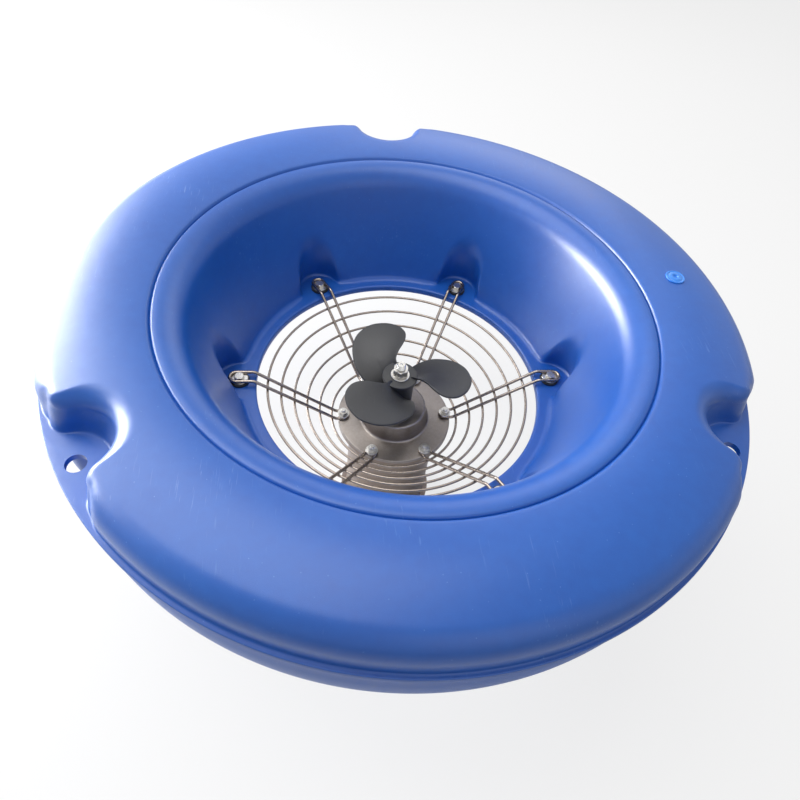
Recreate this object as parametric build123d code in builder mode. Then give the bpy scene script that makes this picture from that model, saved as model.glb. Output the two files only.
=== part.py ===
# Surge aerator: a floating ring of blue polyethylene with a submersible motor hung under its
# central hole by a wire guard, and a three-bladed propeller that lifts water through the guard.
# Millimetres, +Z up. The origin is the centre of the motor's flat bottom, on the motor axis.
import os
from math import asin, cos, radians, sin, sqrt, tan

from build123d import *

os.makedirs("parts", exist_ok=True)

# Float ring
float_diameter = 960.0
groove_diameter = 678.0
hole_diameter = 444.0
bowl_depth = 181.0
parting_drop = 57.0
float_bottom_drop = 207.0
crown_rise = 6.0
crown_inner_lift = 0.5
crown_outer_lift = 1.5
shoulder_drop = 1.5
rim_round_width = 34.0
rim_round_height = 32.0
shell_wall = 4.5
ledge_thickness = 12.0
bowl_lean = 19.4
lower_wall_height = 40.0
lower_wall_set_in = 2.0
keel_width = 82.0
keel_round_in = 21.0
keel_round_up = 32.0
step_margin = 8.0
step_slope = 14.0
shoulder_radius = 41.0
parting_rib_thickness = 8.0
parting_rib_height = 6.0
groove_width = 8.0
groove_depth = 3.0
lip_round = 3.0

# Pockets in the bowl wall and mooring notches in the rim
spoke_count = 6
pocket_width = 72.0
pocket_clearance = 38.0
pocket_flare = 20.0
notch_count = 3
notch_bearing = 90.0
notch_width = 96.0
notch_depth = 56.0
notch_flare = 28.0
notch_overrun = 0.5
mooring_hole_diameter = 24.0
mooring_hole_inset = 23.0

# Filler plug in the top of the float
plug_bearing = 5.3
plug_offset = 1.5
plug_head_diameter = 28.0
plug_head_height = 2.0
plug_stem_diameter = 20.0
plug_stem_length = 11.0
plug_slot_diameter = 6.0

# Wire guard
guard_rise = 92.0
spoke_wire = 5.0
ring_wire = 4.0
ring_count = 6
ring_flange_gap = 11.0
ring_hole_gap = 16.0
weld_clearance = 0.05
spoke_outer_width = 24.0
spoke_inner_width = 21.0
spoke_tip_margin = 17.0
spoke_outer_bend_inset = 22.0
spoke_inner_bend_margin = 12.5
spoke_bend = 10.0

# Hardware, metric sizes
m8_diameter = 8.0
m8_flats = 13.0
m8_head_height = 5.3
m8_nut_height = 6.5
m8_lock_nut_height = 8.0
m8_thread_showing = 3.0
m8_hole = 9.0
m8_washer_diameter = 20.0
m8_washer_thickness = 1.6
spoke_bolt_inset = 25.0
tab_washer_diameter = 26.0
tab_washer_thickness = 2.5
pad_diameter = 30.0
pad_thickness = 4.0
backing_washer_diameter = 24.0
backing_washer_thickness = 2.0

# Motor housing
motor_height = 227.0
casing_diameter = 150.0
casing_wall = 3.0
flange_diameter = 190.0
flange_thickness = 5.0
flange_bolt_edge = 8.5
boss_diameter = 113.0
boss_height = 30.0
boss_top_diameter = 100.0
boss_cone_rise = 4.0
boss_wall = 6.0
boss_round = 4.0
flange_round = 2.0
spigot_depth = 10.0
spigot_wall = 6.0
base_diameter = 168.0
base_thickness = 8.0
base_screw_count = 6
base_screw_diameter = 5.0
base_screw_head = 8.5
base_screw_head_height = 5.0
base_screw_sink = 0.5
base_screw_play = 0.25
base_screw_bearing = 30.0
base_edge_chamfer = 1.5
oring_section = 2.0

# Bearings, a 20 by 47 by 14 pair
bearing_bore = 20.0
bearing_outside = 47.0
bearing_width = 14.0
race_thickness = 3.4
ball_diameter = 7.2
ball_count = 8
ball_clearance = 0.4
cage_wall = 2.4
cage_height = 10.0
wave_washer_thickness = 1.5
wave_washer_play = 0.3
housing_wall = 7.5
circlip_thickness = 1.5

# Electric motor
stator_length = 100.0
stator_bottom = 60.0
rotor_diameter = 90.0
air_gap = 0.5
slot_count = 18
slot_depth = 14.0
slot_width = 6.0
slot_lip = 3.0
winding_overhang = 15.0
winding_clearance = 0.4
rotor_bar_count = 12
rotor_bar_diameter = 6.0
rotor_bar_circle = 76.0
rotor_bar_play = 0.1
end_ring_height = 9.0
end_ring_width = 14.0

# Shaft and propeller
shaft_body_diameter = 26.0
hub_seat_diameter = 18.0
thread_diameter = 14.0
shaft_end_gap = 1.5
shaft_chamfer = 1.5
seat_shortfall = 1.0
centre_drill_diameter = 4.0
hub_gap = 1.0
hub_height = 69.0
hub_diameter = 48.0
hub_disc_diameter = 56.0
hub_disc_thickness = 6.0
blade_count = 3
blade_thickness = 4.0
blade_root_pitch = 174.0
blade_tip_pitch = 66.0
blade_tip_radius = 113.0
blade_rake = 0.156
blade_seat_drop = 12.5
blade_seat_angle = 20.0
blade_grid_rows = 12
blade_grid_columns = 7
blade_grid_start = -48.0
blade_grid_step = 15.0
blade_grid_margin = 0.12
hub_round = 1.5
blade_bearing = 108.5
key_width = 5.0
key_height = 5.0
key_length = 30.0
prop_washer_diameter = 30.0
prop_washer_thickness = 2.0
spring_washer_diameter = 24.0
spring_washer_thickness = 3.5
m14_flats = 22.0
m14_nut_height = 11.0
nut_corner_drop = 1.2
shaft_tip_length = 8.5

# Shaft seal
seal_bore_clearance = 1.5
seat_diameter = 34.0
seat_depth = 8.0
seal_chamber_depth = 22.0
seal_chamber_diameter = 44.0
seal_face_gap = 0.1
seal_face_height = 4.4
seal_spring_wire = 1.6
seal_spring_diameter = 31.0
seal_spring_turns = 2.5
seal_collar_height = 2.0
seal_cup_wall = 2.5
seal_cup_floor = 1.5
seal_play = 0.3
seal_seat_stand_out = 1.0
seal_face_rim = 2.0
seal_face_set_in = 1.5
seal_shaft_gap = 1.0
seal_spring_gap = 0.1

# Cable inlet, an M20 gland in the back of the casing
gland_bearing = 90.0
gland_drop = 22.0
gland_thread_diameter = 20.0
gland_boss_diameter = 30.0
gland_boss_reach = 9.0
gland_flats = 24.0
gland_hex_thickness = 5.0
gland_neck_length = 10.0
gland_nut_flats = 24.0
gland_nut_length = 13.0
gland_wall = 2.5
gland_thread_depth = 1.0
gland_nut_gap = 0.5
gland_nut_chamfer = 1.5
gland_mouth_margin = 1.0
cable_bore = 9.0

# Heights and radii that follow from the sizes above
ledge_height = motor_height + guard_rise
groove_height = ledge_height + bowl_depth
parting_height = groove_height - parting_drop
float_bottom = groove_height - float_bottom_drop
ledge_bottom = ledge_height - ledge_thickness
rim_radius = float_diameter / 2
skin_radius = rim_radius - parting_rib_height
groove_radius = groove_diameter / 2
hole_radius = hole_diameter / 2
rib_top = parting_height + parting_rib_thickness / 2
rib_bottom = parting_height - parting_rib_thickness / 2
notch_reach = skin_radius - notch_depth
mooring_hole_radius = rim_radius - mooring_hole_inset
spoke_bolt_radius = hole_radius + spoke_bolt_inset
pocket_reach = spoke_bolt_radius + pocket_clearance
flange_radius = flange_diameter / 2
flange_bolt_radius = flange_radius - flange_bolt_edge
casing_bore = casing_diameter / 2 - casing_wall
base_screw_radius = (casing_bore + base_diameter / 2 - base_edge_chamfer) / 2


def turned(points, label):
    """A closed (radius, height) outline turned once round the motor axis."""
    with BuildPart() as piece:
        with BuildSketch(Plane.XZ):
            with BuildLine():
                Polyline(*points, close=True)
            make_face()
        revolve(axis=Axis.Z)
    save(piece, label)
    return piece


def save(piece, label):
    """Names a finished piece and writes it as its own file."""
    piece.part.label = label
    export_step(piece.part, f"parts/{label}.step")


# The half section of the float skin, from the hole edge round the top and back underneath
shoulder_top = (groove_radius - groove_width / 2, groove_height - shoulder_drop)
shoulder_foot = (shoulder_top[0] - shoulder_radius * cos(radians(bowl_lean)),
                 shoulder_top[1] - shoulder_radius * (1 - sin(radians(bowl_lean))))
wall_foot_radius = shoulder_foot[0] - (shoulder_foot[1] - ledge_height) * tan(radians(bowl_lean))
crown_start = (groove_radius + groove_width / 2, groove_height + crown_inner_lift)
crown_end = (rim_radius - rim_round_width, groove_height + crown_outer_lift)
crown_top = ((crown_start[0] + crown_end[0]) / 2, groove_height + crown_rise)
plug_radius = crown_top[0] + plug_offset
rim_turn = (skin_radius, groove_height - rim_round_height)
keel_turn = (skin_radius - lower_wall_set_in, parting_height - lower_wall_height)
keel_end = (skin_radius - keel_width, float_bottom)
keel_middle = (skin_radius - keel_round_in, float_bottom + keel_round_up)
step_inner = (pocket_reach + step_margin, ledge_bottom)
step_outer = (step_inner[0] + step_slope, float_bottom)

with BuildSketch(Plane.XZ) as float_section:
    with BuildLine() as section_line:
        Polyline((hole_radius, ledge_bottom), (hole_radius, ledge_height),
                 (wall_foot_radius, ledge_height), shoulder_foot)
        RadiusArc(shoulder_foot, shoulder_top, shoulder_radius)
        Polyline(shoulder_top, (groove_radius, shoulder_top[1] - groove_depth), crown_start)
        crown = ThreePointArc(crown_start, crown_top, crown_end)
        TangentArc(crown_end, rim_turn, tangent=crown % 1)
        Polyline(rim_turn, (skin_radius, parting_height), keel_turn)
        ThreePointArc(keel_turn, keel_middle, keel_end)
        Polyline(keel_end, step_outer, step_inner, (hole_radius, ledge_bottom))
    make_face()


def scoop(reach, width, ring, flare, out):
    """Plan outline of a round-ended recess whose mouth flares tangentially into a ring radius."""
    half = width / 2
    round_centre = Vector(reach + out * half, 0)
    flare_ring = ring - out * flare
    flare_x = (flare_ring ** 2 - (half + flare) ** 2 + round_centre.X ** 2) / (2 * round_centre.X)
    centre = Vector(flare_x, sqrt(flare_ring ** 2 - flare_x ** 2))
    inward = (round_centre - centre).normalized()
    outward = centre.normalized() * out
    neck = centre + inward * flare
    middle = centre + (inward + outward).normalized() * flare
    lip = centre + outward * flare
    clear = lip + outward * flare

    def below(point):
        return Vector(point.X, -point.Y)

    ThreePointArc(neck, (reach, 0), below(neck))
    ThreePointArc(below(neck), below(middle), below(lip))
    Polyline(below(lip), below(clear), clear, lip)
    ThreePointArc(lip, middle, neck)


with BuildSketch() as notch_plan:
    with BuildLine():
        scoop(notch_reach, notch_width, skin_radius + notch_overrun, notch_flare, 1)
    make_face()

with BuildSketch() as pocket_plan:
    with BuildLine():
        scoop(pocket_reach, pocket_width, wall_foot_radius, pocket_flare, -1)
    make_face()

# The hollow inside the skin: it keeps a wall behind every pocket and notch
with BuildPart() as float_cavity:
    with BuildSketch(Plane.XZ):
        add(float_section.sketch)
        offset(amount=-shell_wall, kind=Kind.INTERSECTION, mode=Mode.REPLACE)
    revolve(axis=Axis.Z)
    with BuildSketch(Plane.XY.offset(float_bottom)) as kept_solid:
        Circle(wall_foot_radius + shell_wall)
        with PolarLocations(0, spoke_count):
            add(offset(pocket_plan.sketch, amount=shell_wall, mode=Mode.PRIVATE))
        with PolarLocations(0, notch_count, start_angle=notch_bearing):
            add(offset(notch_plan.sketch, amount=shell_wall, mode=Mode.PRIVATE))
    extrude(amount=float_bottom_drop + crown_rise, mode=Mode.SUBTRACT)

# The float ring: one hollow moulding with a rib where the halves of the mould met
with BuildPart() as float_shell:
    with BuildSketch(Plane.XZ):
        add(float_section.sketch)
        with Locations((skin_radius - shell_wall, parting_height)):
            Rectangle(parting_rib_height + shell_wall, parting_rib_thickness,
                      align=(Align.MIN, Align.CENTER))
    revolve(axis=Axis.Z)
    with BuildSketch(Plane.XY.offset(rib_top)):
        with PolarLocations(0, notch_count, start_angle=notch_bearing):
            add(notch_plan.sketch)
    extrude(amount=parting_drop + crown_rise, mode=Mode.SUBTRACT)
    with BuildSketch(Plane.XY.offset(rib_bottom)):
        with PolarLocations(0, notch_count, start_angle=notch_bearing):
            add(notch_plan.sketch)
    extrude(amount=float_bottom - rib_bottom, mode=Mode.SUBTRACT)
    with BuildSketch(Plane.XY.offset(ledge_height)):
        with PolarLocations(0, spoke_count):
            add(pocket_plan.sketch)
    extrude(amount=bowl_depth + crown_rise, mode=Mode.SUBTRACT)
    add(float_cavity.part, mode=Mode.SUBTRACT)
    with BuildSketch(Plane.XY.offset(rib_bottom)):
        with PolarLocations(mooring_hole_radius, notch_count, start_angle=notch_bearing):
            Circle(mooring_hole_diameter / 2)
    extrude(amount=parting_rib_thickness, mode=Mode.SUBTRACT)
    with BuildSketch(Plane.XY.offset(ledge_bottom)):
        with PolarLocations(spoke_bolt_radius, spoke_count):
            Circle(m8_hole / 2)
    extrude(amount=ledge_thickness, mode=Mode.SUBTRACT)
    with BuildSketch(Plane.XY.offset(groove_height - shell_wall * 2)):
        with PolarLocations(plug_radius, 1, start_angle=plug_bearing):
            Circle(plug_stem_diameter / 2)
    extrude(amount=(shell_wall + crown_rise) * 2, mode=Mode.SUBTRACT)
    lip_edges = [edge for edge in float_shell.edges().filter_by(GeomType.CIRCLE)
                 if abs(edge.radius - hole_radius) < 0.01]
    fillet(lip_edges, lip_round)
save(float_shell, "float_shell")

# The plug's head bears on the highest line of the crown, which passes under it
plug_seat = crown.arc_center.Y + crown.radius

with BuildPart() as filler_plug:
    with BuildSketch(Plane.XY.offset(plug_seat)):
        with PolarLocations(plug_radius, 1, start_angle=plug_bearing):
            Circle(plug_head_diameter / 2)
    extrude(amount=plug_head_height)
    chamfer(filler_plug.faces().sort_by(Axis.Z)[-1].edges(), plug_head_height / 3)
    with BuildSketch(Plane.XY.offset(plug_seat)):
        with PolarLocations(plug_radius, 1, start_angle=plug_bearing):
            Circle(plug_stem_diameter / 2)
    extrude(amount=-plug_stem_length)
    with Locations(Plane.XY.offset(plug_seat + plug_head_height)):
        with PolarLocations(plug_radius, 1, start_angle=plug_bearing):
            CounterSinkHole(plug_slot_diameter / 6, plug_slot_diameter / 2, depth=plug_head_height)
save(filler_plug, "filler_plug")

# Wire guard: the spoke's bends, the rings' even spacing and the height of the spoke's centre line
spoke_tip_radius = spoke_bolt_radius + spoke_tip_margin
spoke_outer_bend_radius = spoke_bolt_radius - spoke_outer_bend_inset
spoke_inner_bend_radius = flange_bolt_radius + spoke_inner_bend_margin
ring_first_radius = flange_radius + ring_flange_gap
ring_pitch = (hole_radius - ring_hole_gap - ring_first_radius) / (ring_count - 1)
spoke_top = ledge_height + pad_thickness + tab_washer_thickness + spoke_wire / 2
spoke_low = motor_height + spoke_wire / 2
spoke_fall = (spoke_top - spoke_low) / (spoke_outer_bend_radius - spoke_inner_bend_radius)
outer_half = (spoke_outer_width - spoke_wire) / 2
inner_half = (spoke_inner_width - spoke_wire) / 2
outer_centre = spoke_tip_radius - spoke_outer_width / 2
inner_centre = flange_bolt_radius
spoke_taper = asin((outer_half - inner_half) / (outer_centre - inner_centre))
weld_drop = ((spoke_wire + ring_wire) / 2 + weld_clearance) * sqrt(1 + spoke_fall ** 2)


def spoke_height(radius):
    """Height of a spoke's centre line on its slope, at a radius from the motor axis."""
    return spoke_low + (radius - spoke_inner_bend_radius) * spoke_fall


for number in range(1, ring_count + 1):
    ring_radius = ring_first_radius + ring_pitch * (number - 1)
    crossing_radius = sqrt(ring_radius ** 2 - outer_half ** 2)
    with BuildPart() as guard_ring:
        with BuildSketch(Plane.XZ):
            with Locations((ring_radius, spoke_height(crossing_radius) - weld_drop)):
                Circle(ring_wire / 2)
        revolve(axis=Axis.Z)
    save(guard_ring, f"guard_ring_{number}")


def spoke_side(side):
    """The four corners of one wire of a spoke, from its outer bight to its inner one."""
    outer_end = Vector(outer_centre - outer_half * sin(spoke_taper), side * outer_half * cos(spoke_taper))
    inner_end = Vector(inner_centre - inner_half * sin(spoke_taper), side * inner_half * cos(spoke_taper))

    def corner(radius, height):
        share = (radius - inner_end.X) / (outer_end.X - inner_end.X)
        return Vector(radius, inner_end.Y + (outer_end.Y - inner_end.Y) * share, height)

    return [corner(outer_end.X, spoke_top), corner(spoke_outer_bend_radius, spoke_top),
            corner(spoke_inner_bend_radius, spoke_low), corner(inner_end.X, spoke_low)]


left_wire = spoke_side(1)
right_wire = spoke_side(-1)
with BuildPart() as spoke_pattern:
    with BuildLine() as spoke_route:
        ThreePointArc(left_wire[0], (outer_centre + outer_half, 0, spoke_top), right_wire[0])
        FilletPolyline(*right_wire, radius=spoke_bend)
        ThreePointArc(right_wire[3], (inner_centre - inner_half, 0, spoke_low), left_wire[3])
        FilletPolyline(*reversed(left_wire), radius=spoke_bend)
    with BuildSketch(Plane(left_wire[0], z_dir=spoke_route.wire() % 0)):
        Circle(spoke_wire / 2)
    sweep(path=spoke_route.wire())

for number in range(1, spoke_count + 1):
    with BuildPart() as guard_spoke:
        add(spoke_pattern.part, rotation=(0, 0, 360 / spoke_count * (number - 1)))
    save(guard_spoke, f"guard_spoke_{number}")


def ring_of_parts(label, count, circle_radius, bottom, profile, height, bore=0.0, start=0.0):
    """A group of equal flat pieces, round or six-sided, stood on a circle round the axis."""
    with BuildPart() as group:
        with BuildSketch(Plane.XY.offset(bottom)):
            with PolarLocations(circle_radius, count, start_angle=start):
                if profile[0] == "hex":
                    RegularPolygon(profile[1] / 2, 6, major_radius=False)
                else:
                    Circle(profile[1] / 2)
                if bore:
                    Circle(bore / 2, mode=Mode.SUBTRACT)
        extrude(amount=height)
    save(group, label)


# Fastening of each spoke to the float: pad, washer under the wires, bolt, backing washer, nut
tab_bottom = ledge_height + pad_thickness
tab_top = tab_bottom + tab_washer_thickness
backing_bottom = ledge_bottom - backing_washer_thickness
lock_nut_bottom = backing_bottom - m8_lock_nut_height
ring_of_parts("spoke_pads", spoke_count, spoke_bolt_radius, ledge_height,
              ("round", pad_diameter), pad_thickness, m8_hole)
ring_of_parts("spoke_tab_washers", spoke_count, spoke_bolt_radius, tab_bottom,
              ("round", tab_washer_diameter), tab_washer_thickness, m8_hole)
ring_of_parts("spoke_backing_washers", spoke_count, spoke_bolt_radius, backing_bottom,
              ("round", backing_washer_diameter), backing_washer_thickness, m8_hole)
ring_of_parts("spoke_lock_nuts", spoke_count, spoke_bolt_radius, lock_nut_bottom,
              ("hex", m8_flats), m8_lock_nut_height, m8_diameter)

with BuildPart() as spoke_bolts:
    with BuildSketch(Plane.XY.offset(tab_top)):
        with PolarLocations(spoke_bolt_radius, spoke_count):
            RegularPolygon(m8_flats / 2, 6, major_radius=False)
    extrude(amount=m8_head_height)
    with BuildSketch(Plane.XY.offset(tab_top)):
        with PolarLocations(spoke_bolt_radius, spoke_count):
            Circle(m8_diameter / 2)
    extrude(amount=lock_nut_bottom - m8_thread_showing - tab_top)
save(spoke_bolts, "spoke_bolts")

# Fastening of the guard and top cover to the motor flange
cover_bottom = motor_height - flange_thickness
casing_flange_bottom = cover_bottom - flange_thickness
flange_washer_bottom = motor_height + spoke_wire
flange_nut_bottom = flange_washer_bottom + m8_washer_thickness
ring_of_parts("flange_washers", spoke_count, flange_bolt_radius, flange_washer_bottom,
              ("round", m8_washer_diameter), m8_washer_thickness, m8_hole)
ring_of_parts("flange_nuts", spoke_count, flange_bolt_radius, flange_nut_bottom,
              ("hex", m8_flats), m8_nut_height, m8_diameter)

with BuildPart() as flange_bolts:
    with BuildSketch(Plane.XY.offset(casing_flange_bottom)):
        with PolarLocations(flange_bolt_radius, spoke_count):
            RegularPolygon(m8_flats / 2, 6, major_radius=False)
    extrude(amount=-m8_head_height)
    with BuildSketch(Plane.XY.offset(casing_flange_bottom)):
        with PolarLocations(flange_bolt_radius, spoke_count):
            Circle(m8_diameter / 2)
    extrude(amount=flange_nut_bottom + m8_nut_height + m8_thread_showing - casing_flange_bottom)
save(flange_bolts, "flange_bolts")

# Motor housing: shaft heights first, because the covers are bored for bearings and seal
bearing_radius = bearing_outside / 2
housing_radius = bearing_radius + housing_wall
lower_bearing_bottom = base_thickness + wave_washer_thickness
lower_bearing_top = lower_bearing_bottom + bearing_width
chamber_top = motor_height + boss_height - boss_wall - seat_depth
chamber_bottom = chamber_top - seal_chamber_depth
upper_bearing_top = chamber_bottom
upper_bearing_bottom = upper_bearing_top - bearing_width
chamber_radius = seal_chamber_diameter / 2
shaft_radius = bearing_bore / 2
seat_top = chamber_top + seat_depth
shaft_bore = shaft_radius + seal_bore_clearance
boss_top = motor_height + boss_height
boss_peak = boss_top + boss_cone_rise
spigot_bottom = cover_bottom - spigot_depth
oring_middle = cover_bottom - spigot_depth / 2
oring_groove = casing_bore - oring_section
hub_bottom = boss_peak + hub_gap
hub_top = hub_bottom + hub_height

with BuildPart() as motor_top_cover:
    with BuildSketch(Plane.XZ):
        with BuildLine():
            Polyline((shaft_bore, boss_peak), (boss_top_diameter / 2, boss_top),
                     (boss_diameter / 2, motor_height), (flange_radius, motor_height),
                     (flange_radius, cover_bottom), (casing_bore, cover_bottom),
                     (casing_bore, oring_middle + oring_section / 2),
                     (oring_groove, oring_middle + oring_section / 2),
                     (oring_groove, oring_middle - oring_section / 2),
                     (casing_bore, oring_middle - oring_section / 2),
                     (casing_bore, spigot_bottom), (casing_bore - spigot_wall, spigot_bottom),
                     (casing_bore - spigot_wall, cover_bottom),
                     (boss_diameter / 2 - boss_wall, cover_bottom),
                     (boss_top_diameter / 2 - boss_wall, boss_top - boss_wall),
                     (housing_radius, boss_top - boss_wall),
                     (housing_radius, upper_bearing_bottom - circlip_thickness * 2),
                     (bearing_radius, upper_bearing_bottom - circlip_thickness * 2),
                     (bearing_radius, upper_bearing_bottom - circlip_thickness),
                     (bearing_radius + circlip_thickness, upper_bearing_bottom - circlip_thickness),
                     (bearing_radius + circlip_thickness, upper_bearing_bottom),
                     (bearing_radius, upper_bearing_bottom),
                     (bearing_radius, upper_bearing_top), (chamber_radius, upper_bearing_top),
                     (chamber_radius, chamber_top), (seat_diameter / 2, chamber_top),
                     (seat_diameter / 2, seat_top), (shaft_bore, seat_top), close=True)
        make_face()
    revolve(axis=Axis.Z)
    for radius, height, round_radius in ((boss_top_diameter / 2, boss_top, boss_round),
                                         (boss_diameter / 2, motor_height, boss_round),
                                         (flange_radius, motor_height, flange_round)):
        round_edges = [edge for edge in motor_top_cover.edges().filter_by(GeomType.CIRCLE)
                       if abs(edge.radius - radius) < 0.01 and abs(edge.center().Z - height) < 0.01]
        fillet(round_edges, round_radius)
    with BuildSketch(Plane.XY.offset(cover_bottom)):
        with PolarLocations(flange_bolt_radius, spoke_count):
            Circle(m8_hole / 2)
    extrude(amount=flange_thickness, mode=Mode.SUBTRACT)
save(motor_top_cover, "motor_top_cover")

gland_height = casing_flange_bottom - gland_drop
gland_out = Vector(cos(radians(gland_bearing)), sin(radians(gland_bearing)), 0)
gland_plane = Plane(origin=(0, 0, gland_height), x_dir=Vector(0, 0, 1).cross(gland_out), z_dir=gland_out)
gland_face = casing_diameter / 2 + gland_boss_reach

with BuildPart() as motor_casing:
    with BuildSketch(Plane.XZ):
        with BuildLine():
            Polyline((casing_bore, base_thickness), (base_diameter / 2, base_thickness),
                     (base_diameter / 2, base_thickness * 2), (casing_diameter / 2, base_thickness * 2),
                     (casing_diameter / 2, casing_flange_bottom), (flange_radius, casing_flange_bottom),
                     (flange_radius, cover_bottom), (casing_bore, cover_bottom), close=True)
        make_face()
    revolve(axis=Axis.Z)
    with BuildSketch(gland_plane.offset(casing_bore)):
        Circle(gland_boss_diameter / 2)
    extrude(amount=casing_wall + gland_boss_reach)
    with BuildSketch(gland_plane.offset(casing_bore - casing_wall * 3)):
        Circle(gland_thread_diameter / 2)
    extrude(amount=gland_boss_reach + casing_wall * 4, mode=Mode.SUBTRACT)
    with BuildSketch(Plane.XY):
        Circle(casing_bore)
    extrude(amount=motor_height, mode=Mode.SUBTRACT)
    with BuildSketch(Plane.XY.offset(casing_flange_bottom)):
        with PolarLocations(flange_bolt_radius, spoke_count):
            Circle(m8_hole / 2)
    extrude(amount=flange_thickness, mode=Mode.SUBTRACT)
    with BuildSketch(Plane.XY.offset(base_thickness)):
        with PolarLocations(base_screw_radius, base_screw_count, start_angle=base_screw_bearing):
            Circle(base_screw_diameter / 2)
    extrude(amount=base_thickness, mode=Mode.SUBTRACT)
save(motor_casing, "motor_casing")

base_spigot_top = base_thickness + spigot_depth
base_oring_middle = base_thickness + spigot_depth / 2
with BuildPart() as motor_base_cover:
    with BuildSketch(Plane.XZ):
        with BuildLine():
            Polyline((0, 0), (base_diameter / 2, 0), (base_diameter / 2, base_thickness),
                     (casing_bore, base_thickness), (casing_bore, base_oring_middle - oring_section / 2),
                     (oring_groove, base_oring_middle - oring_section / 2),
                     (oring_groove, base_oring_middle + oring_section / 2),
                     (casing_bore, base_oring_middle + oring_section / 2),
                     (casing_bore, base_spigot_top), (casing_bore - spigot_wall, base_spigot_top),
                     (casing_bore - spigot_wall, base_thickness), (housing_radius, base_thickness),
                     (housing_radius, lower_bearing_top), (bearing_radius, lower_bearing_top),
                     (bearing_radius, base_thickness), (0, base_thickness), close=True)
        make_face()
    revolve(axis=Axis.Z)
    outer_edge = [edge for edge in motor_base_cover.edges().filter_by(GeomType.CIRCLE)
                  if edge.center().Z < 0.01]
    chamfer(outer_edge, base_edge_chamfer)
    with BuildSketch(Plane.XY):
        with PolarLocations(base_screw_radius, base_screw_count, start_angle=base_screw_bearing):
            Circle(base_screw_head / 2 + base_screw_play)
    extrude(amount=base_screw_head_height + base_screw_sink, mode=Mode.SUBTRACT)
    with BuildSketch(Plane.XY):
        with PolarLocations(base_screw_radius, base_screw_count, start_angle=base_screw_bearing):
            Circle(base_screw_diameter / 2 + base_screw_play)
    extrude(amount=base_thickness, mode=Mode.SUBTRACT)
save(motor_base_cover, "motor_base_cover")

with BuildPart() as base_cover_screws:
    with BuildSketch(Plane.XY.offset(base_screw_sink)):
        with PolarLocations(base_screw_radius, base_screw_count, start_angle=base_screw_bearing):
            Circle(base_screw_head / 2)
    extrude(amount=base_screw_head_height)
    with BuildSketch(Plane.XY.offset(base_screw_sink)):
        with PolarLocations(base_screw_radius, base_screw_count, start_angle=base_screw_bearing):
            RegularPolygon(base_screw_diameter / 4, 6)
    extrude(amount=base_screw_head_height / 2, mode=Mode.SUBTRACT)
    with BuildSketch(Plane.XY.offset(base_screw_sink + base_screw_head_height)):
        with PolarLocations(base_screw_radius, base_screw_count, start_angle=base_screw_bearing):
            Circle(base_screw_diameter / 2)
    extrude(amount=base_thickness * 2 - base_screw_sink - base_screw_head_height)
save(base_cover_screws, "base_cover_screws")

for label, middle in (("top_cover_oring", oring_middle), ("base_cover_oring", base_oring_middle)):
    with BuildPart() as cover_oring:
        with BuildSketch(Plane.XZ):
            with Locations((casing_bore - oring_section / 2, middle)):
                Circle(oring_section / 2)
        revolve(axis=Axis.Z)
    save(cover_oring, label)

# Stator: a slotted core with one winding that fills its slots and turns over at both ends
stator_top = stator_bottom + stator_length
stator_bore = rotor_diameter / 2 + air_gap
slot_start = stator_bore + slot_lip
with BuildPart() as stator_core:
    with BuildSketch(Plane.XY.offset(stator_bottom)):
        Circle(casing_bore)
        Circle(stator_bore, mode=Mode.SUBTRACT)
        with PolarLocations(slot_start, slot_count):
            Rectangle(slot_depth, slot_width, align=(Align.MIN, Align.CENTER), mode=Mode.SUBTRACT)
        with PolarLocations(stator_bore - slot_lip, slot_count):
            Rectangle(slot_lip * 3, slot_width / 3, align=(Align.MIN, Align.CENTER), mode=Mode.SUBTRACT)
    extrude(amount=stator_length)
save(stator_core, "stator_core")

with BuildPart() as stator_winding:
    with BuildSketch(Plane.XY.offset(stator_bottom)):
        with PolarLocations(slot_start + winding_clearance, slot_count):
            Rectangle(slot_depth - winding_clearance * 2, slot_width - winding_clearance * 2,
                      align=(Align.MIN, Align.CENTER))
    extrude(amount=stator_length)
    for height in (stator_bottom - winding_overhang, stator_top):
        with BuildSketch(Plane.XY.offset(height)):
            Circle(slot_start + slot_depth - winding_clearance)
            Circle(slot_start + winding_clearance, mode=Mode.SUBTRACT)
        extrude(amount=winding_overhang)
save(stator_winding, "stator_winding")

# Rotor: a laminated core on the shaft with a cast cage of bars and end rings
with BuildPart() as rotor_core:
    with BuildSketch(Plane.XY.offset(stator_bottom)):
        Circle(rotor_diameter / 2)
        Circle(shaft_body_diameter / 2, mode=Mode.SUBTRACT)
        with PolarLocations(rotor_bar_circle / 2, rotor_bar_count):
            Circle(rotor_bar_diameter / 2, mode=Mode.SUBTRACT)
    extrude(amount=stator_length)
save(rotor_core, "rotor_core")

end_ring_outer = rotor_bar_circle / 2 + rotor_bar_diameter / 2
with BuildPart() as rotor_cage:
    with BuildSketch(Plane.XY.offset(stator_bottom)):
        with PolarLocations(rotor_bar_circle / 2, rotor_bar_count):
            Circle(rotor_bar_diameter / 2 - rotor_bar_play)
    extrude(amount=stator_length)
    for height in (stator_bottom - end_ring_height, stator_top):
        with BuildSketch(Plane.XY.offset(height)):
            Circle(end_ring_outer)
            Circle(end_ring_outer - end_ring_width, mode=Mode.SUBTRACT)
        extrude(amount=end_ring_height)
save(rotor_cage, "rotor_cage")

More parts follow.
